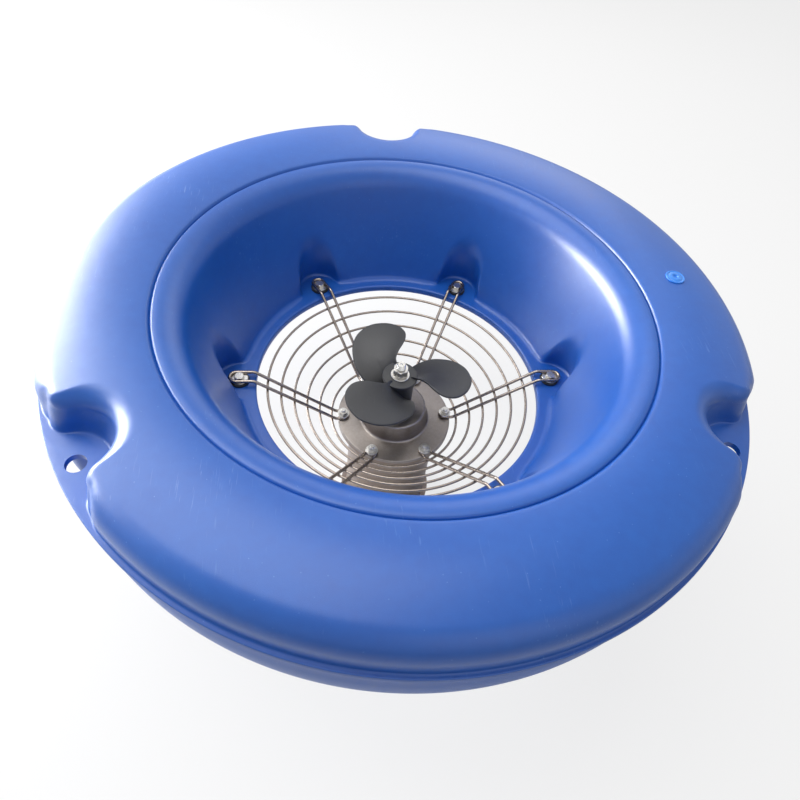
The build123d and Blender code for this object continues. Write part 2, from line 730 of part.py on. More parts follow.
# Bearings: grooved races, a cage with round windows and its balls
inner_race_radius = shaft_radius + race_thickness
outer_race_radius = bearing_radius - race_thickness
ball_circle = (inner_race_radius + outer_race_radius) / 2
groove_round = ball_diameter / 2 + ball_clearance
for place, bottom in (("lower", lower_bearing_bottom), ("upper", upper_bearing_bottom)):
    middle = bottom + bearing_width / 2
    with BuildPart() as inner_ring:
        with BuildSketch(Plane.XZ):
            with Locations(((shaft_radius + inner_race_radius) / 2, middle)):
                Rectangle(race_thickness, bearing_width)
            with Locations((ball_circle, middle)):
                Circle(groove_round, mode=Mode.SUBTRACT)
        revolve(axis=Axis.Z)
    save(inner_ring, f"{place}_bearing_inner_ring")
    with BuildPart() as outer_ring:
        with BuildSketch(Plane.XZ):
            with Locations(((bearing_radius + outer_race_radius) / 2, middle)):
                Rectangle(race_thickness, bearing_width)
            with Locations((ball_circle, middle)):
                Circle(groove_round, mode=Mode.SUBTRACT)
        revolve(axis=Axis.Z)
    save(outer_ring, f"{place}_bearing_outer_ring")
    with BuildPart() as bearing_balls:
        with Locations((0, 0, middle)):
            with PolarLocations(ball_circle, ball_count):
                Sphere(ball_diameter / 2)
    save(bearing_balls, f"{place}_bearing_balls")
    with BuildPart() as bearing_cage:
        with BuildSketch(Plane.XY.offset(middle - cage_height / 2)):
            Circle(ball_circle + cage_wall / 2)
            Circle(ball_circle - cage_wall / 2, mode=Mode.SUBTRACT)
        extrude(amount=cage_height)
        with Locations((0, 0, middle)):
            with PolarLocations(ball_circle, ball_count):
                Cylinder(groove_round - ball_clearance / 2, cage_wall * 2, rotation=(0, 90, 0),
                         mode=Mode.SUBTRACT)
    save(bearing_cage, f"{place}_bearing_cage")

wave_washer_radius = bearing_radius - wave_washer_play
turned([(outer_race_radius, base_thickness), (wave_washer_radius, base_thickness),
        (wave_washer_radius, lower_bearing_bottom), (outer_race_radius, lower_bearing_bottom)],
       "bearing_wave_washer")
turned([(outer_race_radius, upper_bearing_bottom - circlip_thickness),
        (bearing_radius + circlip_thickness, upper_bearing_bottom - circlip_thickness),
        (bearing_radius + circlip_thickness, upper_bearing_bottom),
        (outer_race_radius, upper_bearing_bottom)], "bearing_circlip")

# Shaft, with a keyway for the propeller and a centre drilling in its tip
hub_seat_radius = hub_seat_diameter / 2
thread_radius = thread_diameter / 2
shaft_body_radius = shaft_body_diameter / 2
washer_top = hub_top + prop_washer_thickness
nut_bottom = washer_top + spring_washer_thickness
nut_top = nut_bottom + m14_nut_height
shaft_tip = nut_top + shaft_tip_length
shaft_bottom = base_thickness + shaft_end_gap
key_bottom = hub_bottom + (hub_height - key_length) / 2
with BuildPart() as rotor_shaft:
    with BuildSketch(Plane.XZ):
        with BuildLine():
            Polyline((0, shaft_bottom), (shaft_radius, shaft_bottom), (shaft_radius, lower_bearing_top),
                     (shaft_body_radius, lower_bearing_top), (shaft_body_radius, upper_bearing_bottom),
                     (shaft_radius, upper_bearing_bottom), (shaft_radius, hub_bottom),
                     (hub_seat_radius, hub_bottom), (hub_seat_radius, hub_top - seat_shortfall),
                     (thread_radius, hub_top - seat_shortfall), (thread_radius, shaft_tip),
                     (0, shaft_tip), close=True)
        make_face()
    revolve(axis=Axis.Z)
    chamfer(rotor_shaft.faces().sort_by(Axis.Z)[-1].edges(), shaft_chamfer)
    with Locations((0, 0, shaft_tip)):
        Hole(centre_drill_diameter / 2, depth=thread_radius)
    with Locations((hub_seat_radius, 0, key_bottom)):
        Box(key_height, key_width, key_length, align=(Align.CENTER, Align.CENTER, Align.MIN),
            mode=Mode.SUBTRACT)
save(rotor_shaft, "rotor_shaft")

with BuildPart() as propeller_key:
    with Locations((hub_seat_radius, 0, key_bottom)):
        Box(key_height, key_width, key_length, align=(Align.CENTER, Align.CENTER, Align.MIN))
save(propeller_key, "propeller_key")

# Propeller: a long hub with three helical blades whose pitch falls off towards the tip
hub_radius = hub_diameter / 2
disc_bottom = hub_top - hub_disc_thickness
blade_outline = [(0.10, -12), (0.24, -20), (0.38, -27), (0.54, -30), (0.70, -28), (0.85, -21), (0.955, -10),
                 (1.0, 3), (0.95, 16), (0.85, 27), (0.72, 37), (0.55, 50), (0.37, 62), (0.20, 76),
                 (0.07, 95), (-0.02, 112)]
blade_span = blade_tip_radius - hub_radius


def blade_point(share, angle):
    """A point of the blade's middle surface: share of the span outwards, degrees round the hub."""
    radius = hub_radius + share * blade_span
    pitch = blade_root_pitch + (blade_tip_pitch - blade_root_pitch) * share
    twist = pitch * (angle - blade_seat_angle) / 360
    height = hub_top - blade_seat_drop - twist + blade_rake * share * blade_span
    return Vector(radius * cos(radians(angle)), radius * sin(radians(angle)), height)


grid_shares = [column / (blade_grid_columns - 1) * (1 + blade_grid_margin * 2) - blade_grid_margin
               for column in range(blade_grid_columns)]
grid_angles = [blade_grid_start + blade_grid_step * row for row in range(blade_grid_rows)]
surface_grid = [[blade_point(share, angle) for angle in grid_angles] for share in grid_shares]
outline_points = [Vector(point.X, point.Y) for point in (blade_point(*pair) for pair in blade_outline)]
with BuildPart() as blade:
    thicken(Face.make_surface_from_array_of_points(surface_grid), amount=blade_thickness / 2, both=True)
    with BuildSketch(Plane.XY.offset(hub_bottom - hub_height)):
        with BuildLine():
            Spline(*outline_points)
            Polyline(outline_points[-1], (hub_seat_radius, hub_seat_radius), outline_points[0])
        make_face()
    extrude(amount=hub_height * 3, mode=Mode.INTERSECT)

with BuildPart() as propeller:
    with BuildSketch(Plane.XZ):
        with BuildLine():
            Polyline((0, hub_bottom), (hub_radius, hub_bottom), (hub_radius, disc_bottom),
                     (hub_disc_diameter / 2, disc_bottom), (hub_disc_diameter / 2, hub_top),
                     (0, hub_top), close=True)
        make_face()
    revolve(axis=Axis.Z)
    fillet(propeller.faces().sort_by(Axis.Z)[-1].edges(), hub_round)
    for number in range(blade_count):
        add(blade.part, rotation=(0, 0, blade_bearing + 360 / blade_count * number))
    with BuildSketch(Plane.XY.offset(hub_bottom)):
        Circle(hub_seat_radius)
    extrude(amount=hub_height, mode=Mode.SUBTRACT)
    with Locations((hub_seat_radius, 0, hub_bottom)):
        Box(key_height, key_width, key_length + (hub_height - key_length) / 2,
            align=(Align.CENTER, Align.CENTER, Align.MIN), mode=Mode.SUBTRACT)
save(propeller, "propeller")

turned([(thread_radius, hub_top), (prop_washer_diameter / 2, hub_top),
        (prop_washer_diameter / 2, washer_top), (thread_radius, washer_top)], "propeller_washer")
turned([(thread_radius, washer_top), (spring_washer_diameter / 2, washer_top),
        (spring_washer_diameter / 2, nut_bottom), (thread_radius, nut_bottom)], "propeller_spring_washer")

nut_corner_radius = m14_flats / sqrt(3)
with BuildPart() as propeller_nut:
    with BuildSketch(Plane.XY.offset(nut_bottom)):
        RegularPolygon(m14_flats / 2, 6, major_radius=False)
    extrude(amount=m14_nut_height)
    with BuildSketch(Plane.XZ):
        with BuildLine():
            Polyline((0, nut_bottom), (m14_flats / 2, nut_bottom),
                     (nut_corner_radius, nut_bottom + nut_corner_drop),
                     (nut_corner_radius, nut_top - nut_corner_drop),
                     (m14_flats / 2, nut_top), (0, nut_top), close=True)
        make_face()
    revolve(axis=Axis.Z, mode=Mode.INTERSECT)
    with BuildSketch(Plane.XY.offset(nut_bottom)):
        Circle(thread_radius)
    extrude(amount=m14_nut_height, mode=Mode.SUBTRACT)
save(propeller_nut, "propeller_nut")

# Shaft seal: a fixed seat in its rubber cup, and the turning face, bellows, spring and collar
cup_radius = seat_diameter / 2
seat_radius = cup_radius - seal_cup_wall
seat_bore = shaft_bore + seal_play
cup_bottom = chamber_top + seal_play
cup_floor = seat_top - seal_cup_floor
seat_face = chamber_top - seal_seat_stand_out
face_top = seat_face - seal_face_gap
face_bottom = face_top - seal_face_height
face_radius = cup_radius - seal_face_set_in
face_bore = shaft_radius + seal_shaft_gap
collar_bottom = upper_bearing_top + seal_play
collar_top = collar_bottom + seal_collar_height
bellows_radius = (seal_spring_diameter - seal_spring_wire) / 2 - seal_play
bellows_flange = face_bottom - seal_face_rim
turned([(seat_radius, cup_bottom), (cup_radius, cup_bottom), (cup_radius, seat_top),
        (seat_bore, seat_top), (seat_bore, cup_floor), (seat_radius, cup_floor)], "seal_seat_cup")
turned([(seat_bore, seat_face), (seat_radius, seat_face), (seat_radius, cup_floor),
        (seat_bore, cup_floor)], "seal_seat")
turned([(face_bore, face_bottom), (face_radius, face_bottom), (face_radius, face_bottom + seal_face_rim),
        (seat_radius, face_top), (face_bore, face_top)], "seal_face")
turned([(shaft_radius, collar_top), (bellows_radius, collar_top), (bellows_radius, bellows_flange),
        (face_radius, bellows_flange), (face_radius, face_bottom), (shaft_radius, face_bottom)],
       "seal_bellows")
turned([(shaft_radius, collar_bottom), (cup_radius, collar_bottom), (cup_radius, collar_top),
        (shaft_radius, collar_top)], "seal_collar")

coil_room = bellows_flange - collar_top - seal_spring_wire - seal_spring_gap * 2
coil_start = collar_top + seal_spring_wire / 2 + seal_spring_gap
with BuildPart() as seal_spring:
    with BuildLine():
        coil = Helix(coil_room / seal_spring_turns, coil_room, seal_spring_diameter / 2,
                     center=(0, 0, coil_start))
    with BuildSketch(Plane(coil @ 0, z_dir=coil % 0)):
        Circle(seal_spring_wire / 2)
    sweep(path=coil, is_frenet=True)
save(seal_spring, "seal_spring")

# Cable gland: body screwed into the casing boss, rubber bush in its neck, and the nut over it
gland_radius = gland_thread_diameter / 2
gland_neck_radius = gland_radius - gland_thread_depth
gland_bore = gland_neck_radius - gland_wall
hex_top = gland_face + gland_hex_thickness
neck_end = hex_top + gland_neck_length
nut_start = hex_top + gland_nut_gap
with BuildPart() as cable_gland_body:
    with BuildSketch(gland_plane.offset(casing_bore)):
        Circle(gland_radius)
    extrude(amount=gland_face - casing_bore)
    with BuildSketch(gland_plane.offset(gland_face)):
        RegularPolygon(gland_flats / 2, 6, major_radius=False)
    extrude(amount=gland_hex_thickness)
    with BuildSketch(gland_plane.offset(hex_top)):
        Circle(gland_neck_radius)
    extrude(amount=gland_neck_length)
    with BuildSketch(gland_plane.offset(casing_bore)):
        Circle(gland_bore)
    extrude(amount=neck_end - casing_bore, mode=Mode.SUBTRACT)
save(cable_gland_body, "cable_gland_body")

with BuildPart() as cable_gland_bush:
    with BuildSketch(gland_plane.offset(hex_top)):
        Circle(gland_bore)
        Circle(cable_bore / 2, mode=Mode.SUBTRACT)
    extrude(amount=gland_neck_length)
save(cable_gland_bush, "cable_gland_bush")

with BuildPart() as cable_gland_nut:
    with BuildSketch(gland_plane.offset(nut_start)):
        RegularPolygon(gland_nut_flats / 2, 6, major_radius=False)
    extrude(amount=gland_nut_length)
    outer_face = cable_gland_nut.faces().sort_by(Axis((0, 0, 0), gland_plane.z_dir))[-1]
    chamfer(outer_face.edges(), gland_nut_chamfer)
    with BuildSketch(gland_plane.offset(nut_start)):
        Circle(gland_neck_radius)
    extrude(amount=neck_end - nut_start, mode=Mode.SUBTRACT)
    with BuildSketch(gland_plane.offset(nut_start)):
        Circle(cable_bore / 2 + gland_mouth_margin)
    extrude(amount=gland_nut_length, mode=Mode.SUBTRACT)
save(cable_gland_nut, "cable_gland_nut")
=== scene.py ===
import math

import bmesh
import bpy
import numpy as np
from mathutils import Matrix, Vector


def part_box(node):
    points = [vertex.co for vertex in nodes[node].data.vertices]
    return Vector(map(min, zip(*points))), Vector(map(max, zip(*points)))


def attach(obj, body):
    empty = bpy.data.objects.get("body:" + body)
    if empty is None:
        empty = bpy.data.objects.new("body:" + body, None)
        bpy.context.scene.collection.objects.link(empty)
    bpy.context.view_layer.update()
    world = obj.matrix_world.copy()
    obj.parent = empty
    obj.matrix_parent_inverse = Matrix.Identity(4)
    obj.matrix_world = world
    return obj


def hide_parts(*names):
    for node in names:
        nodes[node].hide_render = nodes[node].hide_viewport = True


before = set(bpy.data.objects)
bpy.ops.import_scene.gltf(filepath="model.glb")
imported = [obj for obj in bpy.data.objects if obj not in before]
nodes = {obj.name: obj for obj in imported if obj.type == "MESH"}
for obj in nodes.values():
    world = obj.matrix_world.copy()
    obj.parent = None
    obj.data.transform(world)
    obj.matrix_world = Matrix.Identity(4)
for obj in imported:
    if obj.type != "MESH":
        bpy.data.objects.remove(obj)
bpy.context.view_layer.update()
print("frame loaded:", len(nodes), "nodes")

mm = 0.001  # settings are in millimetres and degrees where nothing else is said
fixedBody = "float_and_motor"
turningBody = "rotor"

# Camera, lamps and floor

cameraSettings = {
    "place": (-0.1274, -0.6260, 1.0564),
    "forward": (0.00585921, 0.63006352, -0.77652149),  # before the turn about +Z
    "right": (0.98901979, 0.11101924, 0.09754275),
    "up": (-0.14766695, 0.76856665, 0.62249481),
    "turnDegrees": -11.5,
    "focalPixels": 614.02,
    "imagePixels": 800,
    "sensorWidth": 36.0,
    "clip": (0.01, 50),
}


def addObject(name, data):
    obj = bpy.data.objects.new(name, data)
    bpy.context.scene.collection.objects.link(obj)
    return obj


def addCamera(settings):
    camera = addObject("studioCamera", bpy.data.cameras.new("studioCamera"))
    turn = Matrix.Rotation(math.radians(settings["turnDegrees"]), 3, "Z")
    axes = (Vector(settings["right"]), Vector(settings["up"]), -Vector(settings["forward"]))
    columns = Matrix([turn @ axis for axis in axes]).transposed()
    camera.matrix_world = Matrix.Translation(settings["place"]) @ columns.to_4x4()
    camera.data.sensor_width = settings["sensorWidth"]
    camera.data.lens = settings["focalPixels"] / settings["imagePixels"] * settings["sensorWidth"]
    camera.data.clip_start, camera.data.clip_end = settings["clip"]
    bpy.context.scene.camera = camera


lampSettings = {
    # name: place, aim, width, height, watts, whether it also lights matt surfaces
    "windowLamp": ((-2.4, 1.35, 1.0), (0, 0, 0.45), 2.3, 1.5, 130, True),
    "windowSheen": ((-2.4, 1.35, 1.0), (0, 0, 0.45), 2.3, 1.3, 420, False),
    "backLamp": ((0.9, 2.5, 1.9), (0, 0, 0.45), 1.5, 1.5, 12, True),
    "frontLamp": ((0.9, -2.4, 2.2), (0, 0, 0.40), 2.0, 2.0, 8, True),
    "topLamp": ((-0.7, 0.5, 3.0), (0, 0, 0.40), 2.2, 2.2, 48, True),
}
worldLevel = 0.30


def addLamps(settings):
    for name, (place, aim, width, height, watts, matt) in settings.items():
        data = bpy.data.lights.new(name, "AREA")
        data.shape, data.size, data.size_y, data.energy = "RECTANGLE", width, height, watts
        lamp = addObject(name, data)
        lamp.location = place
        lamp.visible_diffuse = matt
        lamp.rotation_euler = (Vector(aim) - Vector(place)).to_track_quat("-Z", "Y").to_euler()


def setWorld(level):
    world = bpy.data.worlds.new("studioWorld")
    world.use_nodes = True
    tree = world.node_tree
    background = tree.nodes["Background"]
    background.inputs["Color"].default_value = (1, 1, 1, 1)
    rays = tree.nodes.new("ShaderNodeLightPath").outputs
    seen = mathNode(tree, "ADD", rays["Is Camera Ray"], rays["Is Transmission Ray"], clamp=True)
    seen = mathNode(tree, "ADD", seen, rays["Is Glossy Ray"], clamp=True)
    mix = tree.nodes.new("ShaderNodeMix")
    mix.data_type = "FLOAT"
    mix.inputs["A"].default_value, mix.inputs["B"].default_value = level, 1.0
    tree.links.new(seen, mix.inputs["Factor"])
    tree.links.new(mix.outputs["Result"], background.inputs["Strength"])
    bpy.context.scene.world = world


floorSettings = {"reach": 40.0, "colour": (0.72, 0.72, 0.72, 1), "roughness": 0.7, "whiteShare": 0.75}


def addFloor(settings):
    reach = settings["reach"]
    mesh = bpy.data.meshes.new("studioFloor")
    corners = [(-reach, -reach, 0), (reach, -reach, 0), (reach, reach, 0), (-reach, reach, 0)]
    mesh.from_pydata(corners, [], [(0, 1, 2, 3)])
    floor = addObject("studioFloor", mesh)
    material, tree, shader = newMaterial("studioFloorPaint")
    shader.inputs["Base Color"].default_value = settings["colour"]
    shader.inputs["Roughness"].default_value = settings["roughness"]
    path = tree.nodes.new("ShaderNodeLightPath")
    glow = tree.nodes.new("ShaderNodeEmission")
    share = mathNode(tree, "MULTIPLY", path.outputs["Is Camera Ray"], settings["whiteShare"])
    mix = tree.nodes.new("ShaderNodeMixShader")
    for socket, value in zip(mix.inputs, (share, shader.outputs[0], glow.outputs[0])):
        tree.links.new(value, socket)
    tree.links.new(mix.outputs[0], tree.nodes["Material Output"].inputs["Surface"])
    mesh.materials.append(material)


# Mesh helpers


# Quads between neighbouring points of a rows by columns grid whose first point has index `first`.
def gridFaces(rows, columns, closeRows, closeColumns, first):
    index = np.arange(rows * columns).reshape(rows, columns) + first
    if closeRows:
        index = np.vstack([index, index[:1]])
    if closeColumns:
        index = np.hstack([index, index[:, :1]])
    return np.stack([index[:-1, :-1], index[1:, :-1], index[1:, 1:], index[:-1, 1:]], axis=-1).reshape(-1, 4)


# One object from grids of points in metres, each given as (points, closeRows, closeColumns), in a finish
# named in `materials`. Doubled points are merged and the faces turned outwards.
def meshFromGrids(name, grids, material, body=fixedBody, replaced=(), smoothAngle=None):
    points, faces, first = [], [], 0
    for grid, closeRows, closeColumns in grids:
        rows, columns = grid.shape[:2]
        points.append(grid.reshape(-1, 3))
        faces.append(gridFaces(rows, columns, closeRows, closeColumns, first))
        first += rows * columns
    mesh = bpy.data.meshes.new(name)
    mesh.from_pydata(np.concatenate(points), [], np.concatenate(faces))
    tidyMesh(mesh)
    if smoothAngle is not None:
        mesh.set_sharp_from_angle(angle=math.radians(smoothAngle))
    obj = addObject(name, mesh)
    mesh.materials.append(materials[material])
    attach(obj, body)
    if replaced:
        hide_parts(*replaced)
    return obj


mergeDistance, sliverLength = 1e-6, 1e-7  # metres


def tidyMesh(mesh):
    work = bmesh.new()
    work.from_mesh(mesh)
    bmesh.ops.remove_doubles(work, verts=work.verts, dist=mergeDistance)
    bmesh.ops.dissolve_degenerate(work, edges=work.edges, dist=sliverLength)
    bmesh.ops.recalc_face_normals(work, faces=work.faces)
    work.to_mesh(mesh)
    work.free()
    mesh.shade_smooth()


# Points (r cos(a), r sin(a), height).
def polarPoints(radius, a, height):
    return np.stack(np.broadcast_arrays(radius * np.cos(a), radius * np.sin(a), height), axis=-1)


# A (radius, height) profile turned round +Z, and closed on itself where it keeps clear of the axis.
def turnedGrid(profile, segments, place=(0, 0, 0)):
    radius, height = np.asarray(profile, float).T
    a = np.linspace(0, 2 * np.pi, segments, endpoint=False)[:, None]
    return ((polarPoints(radius, a, height) + place) * mm, True, radius[0] > 0)


# `count` places evenly round a circle.
def circlePlaces(radius, count, start=0.0):
    return polarPoints(radius, np.radians(start + 360 / count * np.arange(count)), 0)


# The same points turned about +Z.
def aroundAxis(points, degrees):
    a = math.radians(degrees)
    turn = np.array([[math.cos(a), math.sin(a), 0], [-math.sin(a), math.cos(a), 0], [0, 0, 1]])
    return points @ turn


# Points centre + radius (cos a, sin a).
def onCircle(centre, radius, a):
    return centre + radius * np.stack([np.cos(a), np.sin(a)], axis=-1)


# `count` points of a circular arc in the (radius, height) plane.
def arcPoints(centre, radius, startDegrees, endDegrees, count):
    return onCircle(centre, radius, np.radians(np.linspace(startDegrees, endDegrees, count)))


# The smaller of two values, rounded off where they are within `blend` of each other.
def softMin(a, b, blend):
    h = np.clip(blend - np.abs(a - b), 0, None) / blend
    return np.minimum(a, b) - h * h * blend / 4


def softMax(a, b, blend):
    return -softMin(-a, -b, blend)


def unit(vectors):
    return vectors / np.linalg.norm(vectors, axis=-1, keepdims=True)


# A round wire round a closed path: point + radius x (cos(a) across + sin(a) over),
# where across = ahead x (0, 0, 1) and over = across x ahead.
def tubeGrid(path, radius, sides):
    ahead = unit(np.roll(path, -1, 0) - np.roll(path, 1, 0))
    across = unit(np.cross(ahead, (0.0, 0.0, 1.0)))
    over = np.cross(across, ahead)
    a = np.linspace(0, 2 * np.pi, sides, endpoint=False)[None, :, None]
    return (path[:, None] + (np.cos(a) * across[:, None] + np.sin(a) * over[:, None]) * radius) * mm


# Shader helpers


def newMaterial(name):
    material = bpy.data.materials.new(name)
    material.use_nodes = True
    return material, material.node_tree, material.node_tree.nodes["Principled BSDF"]


def addNode(tree, kind, **inputs):
    node = tree.nodes.new(kind)
    for key, value in inputs.items():
        node.inputs[key].default_value = value
    return node


# A Math node on plain numbers or on other nodes' outputs.
def mathNode(tree, operation, *values, clamp=False):
    node = tree.nodes.new("ShaderNodeMath")
    node.operation, node.use_clamp = operation, clamp
    for socket, value in zip(node.inputs, values):
        if isinstance(value, float):
            socket.default_value = value
        else:
            tree.links.new(value, socket)
    return node.outputs[0]


def mixColour(tree, factor, first, second):
    node = tree.nodes.new("ShaderNodeMix")
    node.data_type = "RGBA"
    for name, value in (("Factor", factor), ("A", first), ("B", second)):
        sockets = [s for s in node.inputs if s.name == name and s.enabled]
        if isinstance(value, tuple):
            sockets[0].default_value = value
        else:
            tree.links.new(value, sockets[0])
    return [s for s in node.outputs if s.enabled][0]


# An empty shader group that takes a Vector and named values and gives a Mask.
def newGroup(name, **inputs):
    group = bpy.data.node_groups.new(name, "ShaderNodeTree")
    group.interface.new_socket("Vector", in_out="INPUT", socket_type="NodeSocketVector")
    for label, value in inputs.items():
        socket = group.interface.new_socket(label, in_out="INPUT", socket_type="NodeSocketFloat")
        socket.default_value = value
    group.interface.new_socket("Mask", in_out="OUTPUT", socket_type="NodeSocketFloat")
    return group, group.nodes.new("NodeGroupInput"), group.nodes.new("NodeGroupOutput")


# The mask of a shader group placed in a material with its own values.
def groupMask(tree, group, vector, **values):
    node = tree.nodes.new("ShaderNodeGroup")
    node.node_tree = group
    tree.links.new(vector, node.inputs["Vector"])
    for key, value in values.items():
        node.inputs[key].default_value = value
    return node.outputs["Mask"]


# Joins a group's own inputs to the inputs of the same names on a node in it.
def feedNode(group, enter, node, *names):
    for name in names:
        group.links.new(enter.outputs[name], node.inputs[name])


# Value 0..1 spread about its middle: clamp((value - 0.5) x gain + 0.5).
def spreadMask(tree, value, gain):
    centred = mathNode(tree, "MULTIPLY", mathNode(tree, "SUBTRACT", value, 0.5), gain)
    return mathNode(tree, "ADD", centred, 0.5, clamp=True)


# Value 0..1 stretched to low..high.
def rangeOf(tree, value, low, high):
    return mathNode(tree, "ADD", mathNode(tree, "MULTIPLY", value, high - low), low)


def objectCoords(tree):
    return tree.nodes.new("ShaderNodeTexCoord").outputs["Object"]


patternSettings = {
    "grainScale": 14.0,  # the grain's scale over the clouds'
    "scratchTurns": ((0.2, 0.1, 0.7), (0.5, -0.3, 2.2)),  # radians
    "scratchStretch": (1.0, 0.06, 0.5), "scratchSharpness": 12.0,
    "patchScale": 7.0, "patchSharpness": 6.0,
}


# Large soft patches and a fine grain: spread(large + Grain x (fine - large), Contrast),
# where the fine noise has grainScale x the Scale of the large one.
def makeCloudGroup(settings):
    group, enter, leave = newGroup("cloudAndGrain", Scale=6.0, Grain=0.3, Contrast=1.0)
    large = addNode(group, "ShaderNodeTexNoise", Detail=4.0, Roughness=0.55)
    fine = addNode(group, "ShaderNodeTexNoise", Detail=3.0, Roughness=0.6)
    feedNode(group, enter, large, "Vector", "Scale")
    feedNode(group, enter, fine, "Vector")
    fineScale = mathNode(group, "MULTIPLY", enter.outputs["Scale"], settings["grainScale"])
    group.links.new(fineScale, fine.inputs["Scale"])
    away = mathNode(group, "SUBTRACT", fine.outputs["Fac"], large.outputs["Fac"])
    grain = mathNode(group, "MULTIPLY", away, enter.outputs["Grain"])
    mixed = mathNode(group, "ADD", large.outputs["Fac"], grain)
    group.links.new(spreadMask(group, mixed, enter.outputs["Contrast"]), leave.inputs["Mask"])
    return group


# Short stray scuffs: peaks of two noises drawn out along different directions, kept only in patches.
# mask = largest of clamp((noise - Cover) x scratchSharpness) x clamp((patch - 0.5) x patchSharpness)
def makeScratchGroup(settings):
    group, enter, leave = newGroup("strayScratches", Scale=400.0, Cover=0.66)
    streak = 0.0
    for turn in settings["scratchTurns"]:
        stretch = addNode(group, "ShaderNodeMapping", Scale=settings["scratchStretch"], Rotation=turn)
        feedNode(group, enter, stretch, "Vector")
        noise = addNode(group, "ShaderNodeTexNoise", Detail=2.0, Roughness=0.5, Distortion=0.4)
        feedNode(group, enter, noise, "Scale")
        group.links.new(stretch.outputs["Vector"], noise.inputs["Vector"])
        over = mathNode(group, "SUBTRACT", noise.outputs["Fac"], enter.outputs["Cover"])
        peak = mathNode(group, "MULTIPLY", over, settings["scratchSharpness"], clamp=True)
        streak = mathNode(group, "MAXIMUM", peak, streak)
    patch = addNode(group, "ShaderNodeTexNoise", Scale=settings["patchScale"], Detail=3.0)
    feedNode(group, enter, patch, "Vector")
    over = mathNode(group, "SUBTRACT", patch.outputs["Fac"], 0.5)
    seen = mathNode(group, "MULTIPLY", over, settings["patchSharpness"], clamp=True)
    group.links.new(mathNode(group, "MULTIPLY", streak, seen), leave.inputs["Mask"])
    return group


# Turning and polishing marks that run round the motor axis: spread(noise of sqrt(x^2 + y^2) + z, Depth).
def makeBrushedGroup():
    group, enter, leave = newGroup("roundBrushing", Scale=900.0, Depth=1.0)
    split = group.nodes.new("ShaderNodeSeparateXYZ")
    group.links.new(enter.outputs["Vector"], split.inputs[0])
    squares = [mathNode(group, "POWER", split.outputs[axis], 2.0) for axis in "XY"]
    radius = mathNode(group, "SQRT", mathNode(group, "ADD", *squares))
    noise = addNode(group, "ShaderNodeTexNoise", Detail=3.0)
    noise.noise_dimensions = "1D"
    group.links.new(mathNode(group, "ADD", radius, split.outputs["Z"]), noise.inputs["W"])
    feedNode(group, enter, noise, "Scale")
    group.links.new(spreadMask(group, noise.outputs["Fac"], enter.outputs["Depth"]), leave.inputs["Mask"])
    return group


addCamera(cameraSettings)
addLamps(lampSettings)
setWorld(worldLevel)
addFloor(floorSettings)
bpy.context.scene.view_settings.view_transform = "Standard"
print("camera, lamps and floor ready")

cloudGroup = makeCloudGroup(patternSettings)
scratchGroup = makeScratchGroup(patternSettings)
brushedGroup = makeBrushedGroup()


# Colour and roughness into the shader, and the height through a bump `distance` metres deep.
def dressShader(tree, shader, colour, roughness, height, distance, strength):
    tree.links.new(colour, shader.inputs["Base Color"])
    tree.links.new(roughness, shader.inputs["Roughness"])
    bump = addNode(tree, "ShaderNodeBump", Distance=distance, Strength=strength)
    tree.links.new(height, bump.inputs["Height"])
    tree.links.new(bump.outputs["Normal"], shader.inputs["Normal"])


floatBlueSettings = {
    "deep": (0.005, 0.073, 0.37, 1), "pale": (0.009, 0.118, 0.50, 1), "scuff": (0.15, 0.30, 0.66, 1),
    "roughLow": 0.30, "roughHigh": 0.42, "coat": 0.25, "coatRoughness": 0.34, "specular": 0.45,
    "speckSize": 0.055, "markShare": 0.35, "scratchDepth": 0.6,
}
plugBlueSettings = {
    **floatBlueSettings, "coat": 0.2, "coatRoughness": 0.25,
    "deep": (0.020, 0.19, 0.74, 1), "pale": (0.035, 0.27, 0.85, 1), "scuff": (0.2, 0.5, 0.95, 1),
}


# Moulded polyethylene: colour = deep to pale by soft clouds, then to scuff by markShare x the larger of
# scratches and specks; height = orange peel - scratchDepth x scratches.
def makePolyethylene(name, settings):
    material, tree, shader = newMaterial(name)
    coords = objectCoords(tree)
    cloud = groupMask(tree, cloudGroup, coords, Scale=5.0, Grain=0.35, Contrast=1.5)
    peel = groupMask(tree, cloudGroup, coords, Scale=95.0, Grain=0.5, Contrast=1.0)
    scratches = groupMask(tree, scratchGroup, coords, Scale=420.0, Cover=0.67)
    specks = addNode(tree, "ShaderNodeTexVoronoi", Scale=85.0)
    tree.links.new(coords, specks.inputs["Vector"])
    dot = mathNode(tree, "LESS_THAN", specks.outputs["Distance"], settings["speckSize"])
    base = mixColour(tree, cloud, settings["deep"], settings["pale"])
    marks = mathNode(tree, "MULTIPLY", mathNode(tree, "MAXIMUM", scratches, dot), settings["markShare"])
    colour = mixColour(tree, marks, base, settings["scuff"])
    roughness = rangeOf(tree, cloud, settings["roughLow"], settings["roughHigh"])
    shader.inputs["Coat Weight"].default_value = settings["coat"]
    shader.inputs["Coat Roughness"].default_value = settings["coatRoughness"]
    shader.inputs["Specular IOR Level"].default_value = settings["specular"]
    depth = mathNode(tree, "MULTIPLY", scratches, settings["scratchDepth"])
    height = mathNode(tree, "SUBTRACT", peel, depth)
    dressShader(tree, shader, colour, roughness, height, distance=0.0006, strength=0.35)
    return material


